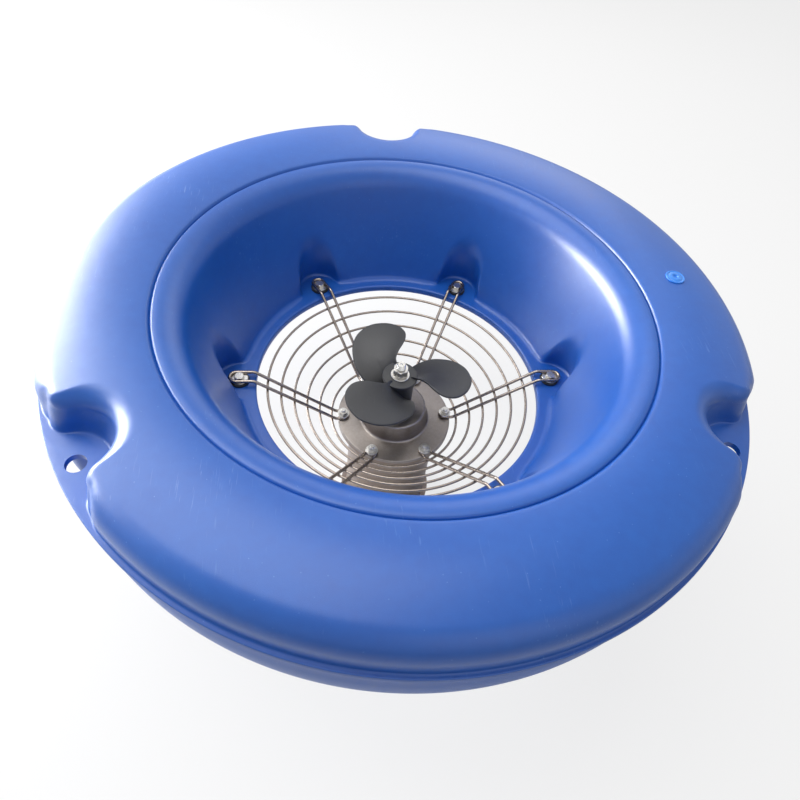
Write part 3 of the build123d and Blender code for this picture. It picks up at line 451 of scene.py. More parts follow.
metalSettings = {
    # light colour, dark colour, roughness of the light and the dark, scale of the brushing and the clouds
    # guard wires: the brown tint is a painted reflection of brown surroundings, the dark colour partly
    # painted shade and partly stains
    "wireSteelPaintedReflection": ((0.50, 0.44, 0.39), (0.17, 0.13, 0.10), 0.18, 0.36, 300.0, 60.0),
    "boltSteel": ((0.74, 0.73, 0.70), (0.45, 0.43, 0.41), 0.20, 0.38, 1200.0, 80.0),
    "coverSteel": ((0.43, 0.39, 0.36), (0.22, 0.19, 0.17), 0.30, 0.48, 1500.0, 18.0),
    # motor casing: the brown colours are a painted reflection of brown surroundings on stainless steel
    "casingSteelPaintedReflection": ((0.38, 0.31, 0.26), (0.18, 0.135, 0.10), 0.24, 0.40, 700.0, 12.0),
    "shaftSteel": ((0.72, 0.71, 0.69), (0.50, 0.49, 0.47), 0.16, 0.30, 1600.0, 60.0),
    "bearingSteel": ((0.75, 0.75, 0.75), (0.55, 0.55, 0.55), 0.10, 0.2, 1800.0, 60.0),
    "coreSteel": ((0.30, 0.30, 0.31), (0.16, 0.16, 0.17), 0.40, 0.6, 2400.0, 50.0),
    "cageMetal": ((0.78, 0.78, 0.79), (0.60, 0.60, 0.61), 0.35, 0.5, 500.0, 50.0),
    "copperWire": ((0.80, 0.38, 0.18), (0.48, 0.20, 0.09), 0.30, 0.5, 1400.0, 70.0),
}


# Bare metal: colour and roughness follow tone = 0.6 x clouds + 0.4 x brushing round the axis.
def makeMetal(name, light, dark, roughLow, roughHigh, brushing, cloudScale):
    material, tree, shader = newMaterial(name)
    coords = objectCoords(tree)
    cloud = groupMask(tree, cloudGroup, coords, Scale=cloudScale, Grain=0.4, Contrast=2.0)
    lines = groupMask(tree, brushedGroup, coords, Scale=brushing, Depth=1.3)
    shares = (mathNode(tree, "MULTIPLY", cloud, 0.6), mathNode(tree, "MULTIPLY", lines, 0.4))
    tone = mathNode(tree, "ADD", *shares)
    colour = mixColour(tree, tone, (*dark, 1), (*light, 1))
    shader.inputs["Metallic"].default_value = 1.0
    roughness = rangeOf(tree, tone, roughHigh, roughLow)
    dressShader(tree, shader, colour, roughness, lines, distance=0.0002, strength=0.25)
    return material


mouldedSettings = {
    # light colour, dark colour, roughness of the dark and the light, scale of the grain, its depth in metres
    "propellerNylon": ((0.05, 0.05, 0.052), (0.03, 0.03, 0.032), 0.34, 0.52, 420.0, 0.0003),
    "padRubber": ((0.03, 0.03, 0.03), (0.016, 0.016, 0.016), 0.60, 0.80, 300.0, 0.0003),
    "sealCeramic": ((0.72, 0.69, 0.62), (0.60, 0.57, 0.50), 0.20, 0.3, 300.0, 0.0001),
    "sealCarbon": ((0.05, 0.05, 0.055), (0.03, 0.03, 0.033), 0.30, 0.4, 300.0, 0.0001),
    "glandNylon": ((0.035, 0.035, 0.037), (0.02, 0.02, 0.022), 0.40, 0.55, 350.0, 0.0003),
}


# Nylon, rubber and seal faces: slight clouds, a fine grain, and a share of 0.3 of scratches in 3 x light.
def makeMoulded(name, light, dark, roughLow, roughHigh, grainScale, grainDepth):
    material, tree, shader = newMaterial(name)
    coords = objectCoords(tree)
    cloud = groupMask(tree, cloudGroup, coords, Scale=22.0, Grain=0.3, Contrast=1.6)
    grain = groupMask(tree, cloudGroup, coords, Scale=grainScale, Grain=0.6, Contrast=1.5)
    scratches = groupMask(tree, scratchGroup, coords, Scale=600.0, Cover=0.66)
    base = mixColour(tree, cloud, (*dark, 1), (*light, 1))
    pale = (*(min(1.0, c * 3.0) for c in light), 1)
    colour = mixColour(tree, mathNode(tree, "MULTIPLY", scratches, 0.3), base, pale)
    roughness = rangeOf(tree, cloud, roughLow, roughHigh)
    dressShader(tree, shader, colour, roughness, grain, distance=grainDepth, strength=0.4)
    return material


materials = {
    "floatBlue": makePolyethylene("floatBlue", floatBlueSettings),
    "plugBlue": makePolyethylene("plugBlue", plugBlueSettings),
    **{name: makeMetal(name, *values) for name, values in metalSettings.items()},
    **{name: makeMoulded(name, *values) for name, values in mouldedSettings.items()},
}
print("materials ready")

# Float ring

floatSettings = {
    # a pair is (radius, height)
    "hole": 222.0, "ledge": 319.0, "ledgeBottom": 307.0, "holeRound": 3.0,
    "wallFoot": 242.7, "lean": 19.4, "footRound": 7.0, "shoulderTop": (335.0, 498.5), "shoulderRadius": 41.0,
    "groove": [(336.6, 498.2), (337.8, 497.2), (339.0, 495.5), (340.2, 497.6), (341.4, 499.8)],
    "crownStart": (343.0, 500.5), "crownTop": (394.5, 506.0), "crownEnd": (446.0, 501.5),
    "skin": 474.0, "rimTurn": 468.0, "rimPull": 1.12,
    "parting": 443.0, "ribTop": 447.0, "ribBottom": 439.0, "ribReach": 480.0, "ribRound": 1.5,
    "ribFoot": 2.5, "ribCrease": 0.7, "wallDrop": 1.0,  # wallDrop is from the rib's foot to the lower wall
    "keelTurn": (472.0, 403.0), "keelMiddle": (453.0, 325.0), "keelEnd": (392.0, 293.0),
    "underside": [(311.0, 293.0), (304.0, 296.0), (296.0, 304.0), (289.0, 307.0), (229.0, 307.0)],
    # recesses: blend is how softly they meet the section, and past its mouth an outline runs out by runOut
    # a degree; crowding, side and spread set where bearings are packed closer
    "pocket": {"count": 6, "start": 0.0, "reach": 285.0, "width": 72.0, "flare": 20.0, "blend": 10.0,
               "lean": 0.16, "runOut": 3.0, "crowding": 2.2, "side": 8.0, "spread": 2.4},
    "notch": {"count": 3, "start": 90.0, "reach": 418.0, "width": 96.0, "flare": 28.0, "blend": 20.0,
              "lean": 0.34, "runOut": 8.0, "crowding": 5.0, "side": 6.2, "spread": 2.2, "lip": 24.0},
    "mooringRadius": 457.0, "mooringHole": 24.0, "mooringSides": 40, "cutterReach": 12.0,
    "angleSteps": 580, "creaseAngle": 50,
}


# Polar outline (degrees, radius) of half a recess: an arc round its end, then the arc of radius `flare`
# that touches it and the ring. `out` is 1 for a notch from outside and -1 for a pocket from inside.
def recessOutline(reach, width, ring, flare, out):
    half = width / 2
    roundX = reach + out * half
    flareRing = ring - out * flare
    flareX = (flareRing ** 2 - (half + flare) ** 2 + roundX ** 2) / (2 * roundX)
    centre = np.array([flareX, math.sqrt(flareRing ** 2 - flareX ** 2)])
    roundCentre = np.array([roundX, 0.0])
    neck = roundCentre + (centre - roundCentre) / (half + flare) * half
    endAngle = math.atan2(neck[1], neck[0] - roundX)
    startAngle = math.pi if out > 0 else 0.0
    a = np.linspace(startAngle, endAngle, 60)
    first = onCircle(roundCentre, half, a)
    fromAngle = math.atan2(*(neck - centre)[::-1])
    toAngle = math.atan2(*(centre * out)[::-1])
    sweep = (toAngle - fromAngle + math.pi) % (2 * math.pi) - math.pi
    b = fromAngle + sweep * np.linspace(0, 1, 40)
    second = onCircle(centre, flare, b)
    outline = np.concatenate([first, second[1:]])
    return np.degrees(np.arctan2(outline[:, 1], outline[:, 0])), np.hypot(outline[:, 0], outline[:, 1])


# Distance in plan from points (radius, degrees) to an outline given in the same way.
def planDistance(radius, degrees, outlineDegrees, outlineRadius):
    points = polarPoints(radius, np.radians(degrees), 0)
    outline = polarPoints(outlineRadius, np.radians(outlineDegrees), 0)
    nearest = np.full(radius.shape, np.inf)
    for start, run in zip(outline[:-1], np.diff(outline, axis=0)):
        share = np.clip((points - start) @ run / (run @ run), 0, 1)
        nearest = np.minimum(nearest, np.linalg.norm(points - start - share[..., None] * run, axis=-1))
    return nearest


# Degrees from each angle to the nearest of `count` evenly spaced bearings.
def nearestAway(angle, start, count):
    pitch = 360.0 / count
    return np.abs((angle - start + pitch / 2) % pitch - pitch / 2)


# The recess outline and, as columns, its radius and the degrees from it at every bearing.
def recessAround(angle, recess, ring, out):
    outline = recessOutline(recess["reach"], recess["width"], ring, recess["flare"], out)
    away = nearestAway(angle, recess["start"], recess["count"])
    beyond = away - outline[0][-1]
    radius = np.where(beyond > 0, ring + out * recess["runOut"] * beyond, np.interp(away, *outline))
    return radius[:, None], away[:, None], outline


# Bearings round the ring, packed closer where a recess has its sides:
# density = 1 + sum of crowding x exp(-((degrees from the recess - side) / spread)^2).
def spreadAngles(s):
    fine = np.linspace(0, 360, 7201)  # twentieths of a degree
    density = 1
    for recess in (s["notch"], s["pocket"]):
        away = nearestAway(fine, recess["start"], recess["count"])
        density = density + recess["crowding"] * np.exp(-((away - recess["side"]) / recess["spread"]) ** 2)
    travel = np.concatenate([[0], np.cumsum((density[1:] + density[:-1]) / 2)])
    return np.interp(np.linspace(0, travel[-1], s["angleSteps"], endpoint=False), travel, fine)


# Points of the arc from a through b to c.
def circleThrough(a, b, c, count):
    a, b, c = (np.asarray(p, float) for p in (a, b, c))
    left = np.array([b - a, c - b]) * 2
    right = np.array([b @ b - a @ a, c @ c - b @ b])
    centre = np.linalg.solve(left, right)
    angles = np.unwrap([math.atan2(*(p - centre)[::-1]) for p in (a, b, c)])
    t = np.linspace(angles[0], angles[2], count)
    return onCircle(centre, np.linalg.norm(a - centre), t)


# Hermite curve between two points with given directions at its ends, pull x their distance strong.
def easeCurve(start, startAhead, end, endAhead, count, pull):
    t = np.linspace(0, 1, count)[:, None]
    length = np.linalg.norm(np.subtract(end, start)) * pull
    ahead0, ahead1 = (unit(np.asarray(ahead)) * length for ahead in (startAhead, endAhead))
    return ((2 * t ** 3 - 3 * t ** 2 + 1) * start + (t ** 3 - 2 * t ** 2 + t) * ahead0
            + (-2 * t ** 3 + 3 * t ** 2) * end + (t ** 3 - t ** 2) * ahead1)


# Hole edge, ledge out to the wall's foot, wall and shoulder. The wall is a cone, cut back by the pockets:
# radius = softMax(cone, pocket outline - lean x height over the ledge).
def bowlZones(s, pocket):
    recess, holeRound, footRound = s["pocket"], s["holeRound"], s["footRound"]
    inner = s["hole"] + holeRound
    edge = np.concatenate([arcPoints((inner, s["ledgeBottom"] + holeRound), holeRound, 270, 180, 4),
                           arcPoints((inner, s["ledge"] - holeRound), holeRound, 180, 90, 5)])
    wallFoot = softMax(s["wallFoot"], pocket, recess["blend"])
    ledge = inner + (wallFoot - footRound - inner) * np.linspace(0, 1, 7)[1:-1]
    lean = math.radians(s["lean"])
    centre = np.asarray(s["shoulderTop"]) - (0, s["shoulderRadius"])
    top = centre + s["shoulderRadius"] * np.array([-math.cos(lean), math.sin(lean)])
    low = s["ledge"] + footRound * (1 - np.cos(np.radians(np.linspace(0, 90, 6))))
    heights = np.concatenate([low[:-1], np.linspace(low[-1], top[1], 17)])
    radii = s["wallFoot"] + (heights - s["ledge"]) * math.tan(lean)
    shoulder = arcPoints(centre, s["shoulderRadius"], 180 - s["lean"], 90, 12)[1:]
    heights = np.concatenate([heights, shoulder[:, 1]])
    radii = np.concatenate([radii, shoulder[:, 0]])
    rise = np.clip(heights - s["ledge"], 0, footRound)
    inset = footRound - np.sqrt(footRound ** 2 - (footRound - rise) ** 2)
    wall = softMax(radii, pocket - recess["lean"] * (heights - s["ledge"]), recess["blend"]) - inset
    return [(edge[:, 0], edge[:, 1]), (ledge, s["ledge"]), (wall, heights)]


# Groove, crown, rim and side down to the rib, cut back by the notches:
# radius = softMin(section, notch outline - lean x height over the rib), and the crown rounds over into
# the notch: height <= foot of the lip + sqrt(lip^2 - (lip - distance to the outline)^2).
def crownZone(s, notch, away, outline):
    recess, lip = s["notch"], s["notch"]["lip"]
    turn, ribTop = (s["skin"], s["rimTurn"]), s["ribTop"]
    crown = circleThrough(s["crownStart"], s["crownTop"], s["crownEnd"], 30)
    rim = easeCurve(crown[-1], crown[-1] - crown[-2], turn, (0, -1), 18, s["rimPull"])[1:]
    side = np.linspace(turn, (s["skin"], ribTop + s["ribFoot"]), 3)[1:]
    radius, height = np.concatenate([s["groove"], crown, rim, side]).T
    lipFoot = s["crownTop"][1] - lip
    lean = recess["lean"] * np.clip(np.minimum(height, lipFoot) - ribTop, 0, None)
    limited = softMin(radius, notch - lean, recess["blend"])
    gap = np.clip(planDistance(limited + lean, away, *outline), 0, lip)
    return limited, np.minimum(height, lipFoot + np.sqrt(lip ** 2 - (lip - gap) ** 2))


# The parting rib: foot fillet, top, rounded edge with a crease, underside and lower fillet.
def ribZones(s, notch):
    ribTop, ribBottom, foot, ribRound = s["ribTop"], s["ribBottom"], s["ribFoot"], s["ribRound"]
    wall = softMin(s["skin"], notch, s["notch"]["blend"])
    a = np.radians(np.linspace(0, 90, 4))[1:]
    out, rise = foot * (1 - np.cos(a)), foot * (1 - np.sin(a))
    t = np.linspace(0, 1, 6)[1:-1]
    start, reach = wall + foot, s["ribReach"] - ribRound
    edge = np.concatenate([arcPoints((reach, ribTop - ribRound), ribRound, 90, 0, 4),
                           [(s["ribReach"] - s["ribCrease"], s["parting"])],
                           arcPoints((reach, ribBottom + ribRound), ribRound, 0, -90, 4)])
    return [(wall + out, ribTop + rise), (start + (reach - start) * t, ribTop), (edge[:, 0], edge[:, 1]),
            (reach + (start - reach) * t, ribBottom), (wall + out[::-1], ribBottom - rise[::-1])]


# Lower wall, keel, flat bottom, step and the underside of the ledge, cut back by the notches.
def lowerZone(s, notch):
    wallTop = s["ribBottom"] - s["ribFoot"] - s["wallDrop"]
    flatEnd, stepLow, stepHigh, ledgeOuter, ledgeInner = s["underside"]
    keel = circleThrough(s["keelTurn"], s["keelMiddle"], s["keelEnd"], 24)
    lower = np.concatenate([np.linspace((s["skin"], wallTop), s["keelTurn"], 5), keel[1:],
                            np.linspace(s["keelEnd"], flatEnd, 7)[1:], np.linspace(stepLow, stepHigh, 4),
                            np.linspace(ledgeOuter, ledgeInner, 6)])
    return softMin(lower[:, 0], notch, s["notch"]["blend"]), lower[:, 1]


# The ring is its half section carried round the axis: x = r cos(bearing), y = r sin(bearing).
# The section is made in zones of (radius, height), each with the same points at every bearing.
def buildFloat(s):
    angle = spreadAngles(s)
    pocket = recessAround(angle, s["pocket"], s["wallFoot"], -1)[0]
    notch, away, outline = recessAround(angle, s["notch"], s["skin"], 1)
    zones = bowlZones(s, pocket) + [crownZone(s, notch, away, outline)]
    zones += ribZones(s, notch) + [lowerZone(s, notch)]
    bearing = np.radians(angle)[:, None]
    full = [np.broadcast_arrays(radius, height, bearing) for radius, height in zones]
    radius, height = (np.concatenate([zone[k] for zone in full], axis=1) for k in (0, 1))
    grid = polarPoints(radius, bearing, height) * mm
    shell = meshFromGrids("floatRing", [(grid, True, True)], "floatBlue", replaced=["float_shell"])
    cutHoles(shell, s)
    print("float ring:", len(shell.data.polygons), "faces")


# Cuts the mooring holes with round cutters, which are taken away again.
def cutHoles(shell, s):
    half, low, high = s["mooringHole"] / 2, s["parting"] - s["cutterReach"], s["parting"] + s["cutterReach"]
    profile = [(0, low), (half, low), (half, high), (0, high)]
    places = circlePlaces(s["mooringRadius"], s["notch"]["count"], s["notch"]["start"])
    cutters = [turnedGrid(profile, s["mooringSides"], place) for place in places]
    cutter = meshFromGrids("mooringCutter", cutters, "floatBlue")
    cut = shell.modifiers.new("mooringHoles", "BOOLEAN")
    cut.object, cut.operation, cut.solver = cutter, "DIFFERENCE", "EXACT"
    graph = bpy.context.evaluated_depsgraph_get()
    finished = bpy.data.meshes.new_from_object(shell.evaluated_get(graph))
    shell.modifiers.remove(cut)
    shell.data = finished
    finished.name = "floatRing"
    finished.set_sharp_from_angle(angle=math.radians(s["creaseAngle"]))
    bpy.data.objects.remove(cutter)


buildFloat(floatSettings)

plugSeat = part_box("filler_plug")[1][2] / mm - 2.0  # the head is 2 mm high
plugSettings = {
    "bearing": 5.3, "radius": 396.0, "seat": plugSeat, "sides": 64,
    "stem": [(0, -9), (9.6, -9), (10, -8.6), (10, -0.3)],
    "head": [(13.6, -0.3), (14.0, 0.1), (14.0, 1.2), (13.3, 1.9)],
    "ring": [(11.5, 1.95), (10.8, 1.5), (10.1, 1.95), (7.0, 2.3)],
    "socket": [(4.0, 2.6), (3.4, 2.2), (2.9, 0.7), (0, 0.7)],
}


# A shallow domed head with a turned ring in it, over a short stem: a (radius, height) profile turned round.
def buildPlug(s):
    place = polarPoints(s["radius"], math.radians(s["bearing"]), s["seat"])
    grid = turnedGrid(s["stem"] + s["head"] + s["ring"] + s["socket"], s["sides"], place)
    plug = meshFromGrids("fillerPlug", [grid], "plugBlue", replaced=["filler_plug"], smoothAngle=40)


buildPlug(plugSettings)

# Wire guard

guardSettings = {
    "spokeCount": 6, "spokeWire": 5.0, "ringWire": 4.0, "rings": [106, 126, 146, 166, 186, 206],
    "outerWidth": 24.0, "innerWidth": 21.0, "tip": 264.0, "outerBend": 225.0, "innerBend": 99.0,
    "innerCentre": 86.5, "top": 328.0, "low": 229.5, "bend": 10.0, "ringGap": 0.05,
    "wireSides": 16, "ringSides": 240,
}


# Arc of a given radius that cuts the corner between two straight runs: centre + the start arm turned
# towards the end arm, (sin((1 - t) turn) start + sin(t turn) end) / sin(turn).
def roundedCorner(before, corner, after, radius, count):
    u, v = unit(before - corner), unit(after - corner)
    half = math.acos(np.clip(u @ v, -1, 1)) / 2
    centre = corner + unit(u + v) * (radius / math.sin(half))
    start, end = (corner + arm * radius / math.tan(half) - centre for arm in (u, v))
    turn = math.acos(np.clip(start @ end / radius ** 2, -1, 1))
    t = np.linspace(0, 1, count)[:, None]
    return centre + (np.sin((1 - t) * turn) * start + np.sin(t * turn) * end) / math.sin(turn)


# Centre line of one spoke, a closed flat loop bent down its slope and levelled at both ends.
def spokePath(s):
    outerHalf, innerHalf = (s["outerWidth"] - s["spokeWire"]) / 2, (s["innerWidth"] - s["spokeWire"]) / 2
    outerCentre = s["tip"] - s["outerWidth"] / 2
    taper = math.asin((outerHalf - innerHalf) / (outerCentre - s["innerCentre"]))
    quarter = math.pi / 2

    # the long side from the outer end to the inner one, on the side of y that `sign` gives
    def side(sign):
        outerX, outerY = outerCentre - outerHalf * math.sin(taper), sign * outerHalf * math.cos(taper)
        innerX, innerY = s["innerCentre"] - innerHalf * math.sin(taper), sign * innerHalf * math.cos(taper)
        x = np.array([outerX, s["outerBend"], s["innerBend"], innerX])
        y = innerY + (outerY - innerY) * (x - innerX) / (outerX - innerX)
        corners = np.stack([x, y, [s["top"], s["top"], s["low"], s["low"]]], axis=-1)
        first, second = (roundedCorner(*corners[k:k + 3], s["bend"], 7) for k in (0, 1))
        return np.concatenate([np.linspace(corners[0], first[0], 5)[:-1], first,
                               np.linspace(first[-1], second[0], 30)[1:-1], second,
                               np.linspace(second[-1], corners[3], 3)[1:]])

    # an end: x = centre + half cos(t), y = half sin(t)
    def turnBack(centre, half, start, end, height):
        t = np.linspace(start, end, 16)[1:-1]
        return polarPoints(half, t, height) + (centre, 0, 0)

    outerLoop = turnBack(outerCentre, outerHalf, quarter + taper, -quarter - taper, s["top"])
    innerLoop = turnBack(s["innerCentre"], innerHalf, -quarter - taper, -3 * quarter + taper, s["low"])
    return np.concatenate([outerLoop, side(-1), innerLoop, side(1)[::-1]])


def buildGuard(s):
    path = spokePath(s)
    for k in range(s["spokeCount"]):
        grid = tubeGrid(aroundAxis(path, 360 / s["spokeCount"] * k), s["spokeWire"] / 2, s["wireSides"])
        node = f"guard_spoke_{k + 1}"
        spoke = meshFromGrids(f"guardSpoke{k + 1}", [(grid, True, True)], "wireSteelPaintedReflection", replaced=[node])
    slope = (s["top"] - s["low"]) / (s["outerBend"] - s["innerBend"])
    outerHalf = (s["outerWidth"] - s["spokeWire"]) / 2
    drop = ((s["spokeWire"] + s["ringWire"]) / 2 + s["ringGap"]) * math.sqrt(1 + slope ** 2)
    for k, ring in enumerate(s["rings"]):
        crossing = math.sqrt(ring ** 2 - outerHalf ** 2)
        height = s["low"] + (crossing - s["innerBend"]) * slope - drop
        section = arcPoints((ring, height), s["ringWire"] / 2, 0, 360, s["wireSides"] + 1)[:-1]
        grid = turnedGrid(section, s["ringSides"])
        wire = meshFromGrids(f"guardRing{k + 1}", [grid], "wireSteelPaintedReflection", replaced=[f"guard_ring_{k + 1}"])
    print("wire guard ready")


buildGuard(guardSettings)

# Nuts, bolts and washers

hardwareSettings = {
    "count": 6, "spokeCircle": 247.0, "flangeCircle": 86.5, "rodSides": 24,
    "turns": [12, 41, 27, 5, 50, 33],  # how far each head is turned
    # heads and nuts: across flats, lowest, highest; a bore is a radius, a rod a (radius, height) profile
    "spokeHead": (13.0, 325.5, 330.8),
    "spokeRod": [(0, 294.0), (3.6, 294.0), (4, 294.6), (4, 325.5), (0, 325.5)],
    "flangeNut": (13.0, 233.6, 240.1), "nutBore": 3.9,
    "flangeHead": (13.0, 211.7, 217.0), "flangeRod": [(0, 216), (4, 216), (4, 233.6), (0, 233.6)],
    "flangeThread": (8.0, 1.25, 233.6, 243.1),  # diameter, pitch, lowest, highest
    "propellerNut": (22.0, 336.5, 347.5), "propellerBore": 6.9, "propellerTurn": 20,
    # washers: inner radius, outer radius, lowest, highest
    "flangeWasher": (4.5, 10.0, 232.0, 233.6), "tabWasher": (4.5, 13.0, 323.0, 325.5),
    "pad": (4.5, 15.0, 319.0, 323.0), "propellerWasher": (7.0, 15.0, 331.0, 333.0),
}
hexSettings = {"steps": 72, "coneDepth": 1.2, "sideDepth": 1.6, "inset": 0.1, "slope": 1.73}
threadSettings = {"sides": 36, "stepsPerTurn": 8, "depth": 0.54, "flank": 1.25, "crest": 0.1, "taper": 0.6}


# A six-sided prism whose corners are cut by cones: radius = min(flats/2 / cos(degrees from a flat's middle),
# flats/2 - inset + slope x depth). `cones` says which ends are cut, the lower and the upper.
def hexGrid(flats, low, high, cones, bore, place, turn):
    s = hexSettings
    angle = np.radians(np.linspace(0, 360, s["steps"], endpoint=False))
    wedge = (np.degrees(angle) % 60) - 30
    depth = np.concatenate([[0.0], np.linspace(0, s["coneDepth"], 6), [s["sideDepth"]]])
    heights = np.concatenate([low + depth, [(low + high) / 2], high - depth[::-1]])
    radius = np.broadcast_to((flats / 2 / np.cos(np.radians(wedge)))[:, None], (len(angle), len(heights)))
    for cut, depth in zip(cones, (heights - low, high - heights)):
        if cut:
            radius = np.minimum(radius, flats / 2 - s["inset"] + depth * s["slope"])
    end = np.full((len(angle), 1), float(bore))
    radius = np.hstack([end, radius, end])
    heights = np.concatenate([[low], heights, [high]])
    bearing = (angle + math.radians(turn))[:, None]
    return ((polarPoints(radius, bearing, heights) + place) * mm, True, bore > 0)


# A rod with a real helical thread: radius = outside - depth x triangle wave of (height/pitch - bearing/turn),
# whose flanks and crests are cut flat, and which fades out at the top.
def threadGrid(diameter, pitch, low, high, place):
    s = threadSettings
    turns = np.linspace(0, 2 * np.pi, s["sides"], endpoint=False)[:, None]
    steps = np.linspace(low, high, int((high - low) / pitch * s["stepsPerTurn"]))
    wave = np.abs(((steps / pitch - turns / (2 * np.pi)) % 1.0) * 2 - 1)
    depth = s["depth"] * pitch
    radius = diameter / 2 - depth * np.clip(wave * s["flank"] - s["crest"], 0, 1)
    fade = np.clip((high - steps) / (s["taper"] * pitch), 0, 1)
    radius = np.minimum(radius, diameter / 2 - depth * (1 - fade))
    radius = np.pad(radius, ((0, 0), (1, 1)))  # both ends close on the axis
    steps = np.concatenate([[low], steps, [high]])
    return ((polarPoints(radius, turns, steps) + place) * mm, True, False)


# A flat ring with its outer edges broken by `soft`.
def washerGrid(inner, outer, low, high, place=(0, 0, 0), segments=40):
    soft = min(0.35, (high - low) / 3)
    profile = [(inner, low), (outer - soft, low), (outer, low + soft),
               (outer, high - soft), (outer - soft, high), (inner, high)]
    return turnedGrid(profile, segments, place)


def buildHardware(s):
    spokePlaces = circlePlaces(s["spokeCircle"], s["count"])
    flangePlaces = circlePlaces(s["flangeCircle"], s["count"])
    bolts, nuts, studs = [], [], []
    for place, turn in zip(spokePlaces, s["turns"]):
        bolts.append(hexGrid(*s["spokeHead"], (False, True), 0, place, turn))
        bolts.append(turnedGrid(s["spokeRod"], s["rodSides"], place))
    for place, turn, nutTurn in zip(flangePlaces, s["turns"], s["turns"][::-1]):
        nuts.append(hexGrid(*s["flangeNut"], (True, True), s["nutBore"], place, nutTurn))
        studs.append(threadGrid(*s["flangeThread"], place))
        studs.append(turnedGrid(s["flangeRod"], s["rodSides"], place))
        studs.append(hexGrid(*s["flangeHead"], (True, False), 0, place, turn))
    flangeWashers = [washerGrid(*s["flangeWasher"], place) for place in flangePlaces]
    tabWashers = [washerGrid(*s["tabWasher"], place) for place in spokePlaces]
    for name, node, grids, crease in (
            ("spokeBolts", "spoke_bolts", bolts, 28),
            ("flangeNuts", "flange_nuts", nuts, 28),
            ("flangeBolts", "flange_bolts", studs, 35),
            ("flangeWashers", "flange_washers", flangeWashers, 35),
            ("spokeTabWashers", "spoke_tab_washers", tabWashers, 35)):
        piece = meshFromGrids(name, grids, "boltSteel", replaced=[node], smoothAngle=crease)
    padGrids = [washerGrid(*s["pad"], place) for place in spokePlaces]
    pads = meshFromGrids("spokePads", padGrids, "padRubber", replaced=["spoke_pads"], smoothAngle=35)
    nut = hexGrid(*s["propellerNut"], (True, True), s["propellerBore"], (0, 0, 0), s["propellerTurn"])
    washer = washerGrid(*s["propellerWasher"], segments=64)
    for name, node, grid, crease in (("propellerNut", "propeller_nut", nut, 28),
                                     ("propellerWasher", "propeller_washer", washer, 35)):
        piece = meshFromGrids(name, [grid], "boltSteel", turningBody, [node], crease)
    print("hardware ready")


buildHardware(hardwareSettings)

# Propeller and shaft tip

propellerSettings = {
    "hubTop": 331.0, "hubBottom": 262.0, "hubRadius": 24.0, "discRadius": 28.0, "discThickness": 6.0,
    "bore": 9.2, "hubRound": 1.5, "neckRound": 2.0, "discRound": 0.8, "hubSides": 96,
    "tip": 113.0, "rootPitch": 174.0, "tipPitch": 66.0, "rake": 0.156, "seatDrop": 12.5, "seatAngle": 20.0,
    "thickness": 4.0, "swell": 1.15, "bearing": 108.5, "blades": 3,
    # share of the span, degrees round the hub
    "outline": [(0.10, -12), (0.24, -20), (0.38, -27), (0.54, -30), (0.70, -28), (0.85, -21), (0.955, -10),
                (1.0, 3), (0.95, 16), (0.85, 27), (0.72, 37), (0.55, 50), (0.37, 62), (0.20, 76), (0.07, 95),
                (-0.02, 112)],
    "root": [(15.0, 112.0), (14.0, 60.0), (14.0, 10.0), (20.0, -10.0)],  # radius, degrees, inside the hub
    # rings are drawn in from the edge by each depth, to no less than the smallest share of the outline
    "middle": (52.0, 20.0), "edgeSteps": 150, "depths": [6, 11, 18, 27, 38, 50], "smallest": 0.04,
}


# A closed Catmull-Rom curve through points, worked out at 24 places a span and sampled evenly along it.
def smoothLoop(points, count):
    points = np.asarray(points, float)
    p0, p1, p2, p3 = (np.roll(points, k, 0)[:, None, :] for k in (1, 0, -1, -2))
    t = np.linspace(0, 1, 24, endpoint=False)[None, :, None]
    a, b, c = p2 - p0, 2 * p0 - 5 * p1 + 4 * p2 - p3, 3 * p1 - p0 - 3 * p2 + p3
    curve = 0.5 * (2 * p1 + a * t + b * t ** 2 + c * t ** 3)
    curve = curve.reshape(-1, points.shape[1])
    closed = np.vstack([curve, curve[:1]])
    length = np.concatenate([[0], np.cumsum(np.linalg.norm(np.diff(closed, axis=0), axis=1))])
    at = np.linspace(0, length[-1], count, endpoint=False)
    return np.stack([np.interp(at, length, closed[:, k]) for k in range(points.shape[1])], axis=-1)


# Height of the blade's middle surface: seat - pitch x turns from the seat + rake x distance from the hub,
# where the pitch falls off evenly from hub to tip.
def bladeHeight(radius, degrees, s):
    share = (radius - s["hubRadius"]) / (s["tip"] - s["hubRadius"])
    pitch = s["rootPitch"] + (s["tipPitch"] - s["rootPitch"]) * share
    return (s["hubTop"] - s["seatDrop"] - pitch * (degrees - s["seatAngle"]) / 360
            + s["rake"] * (radius - s["hubRadius"]))


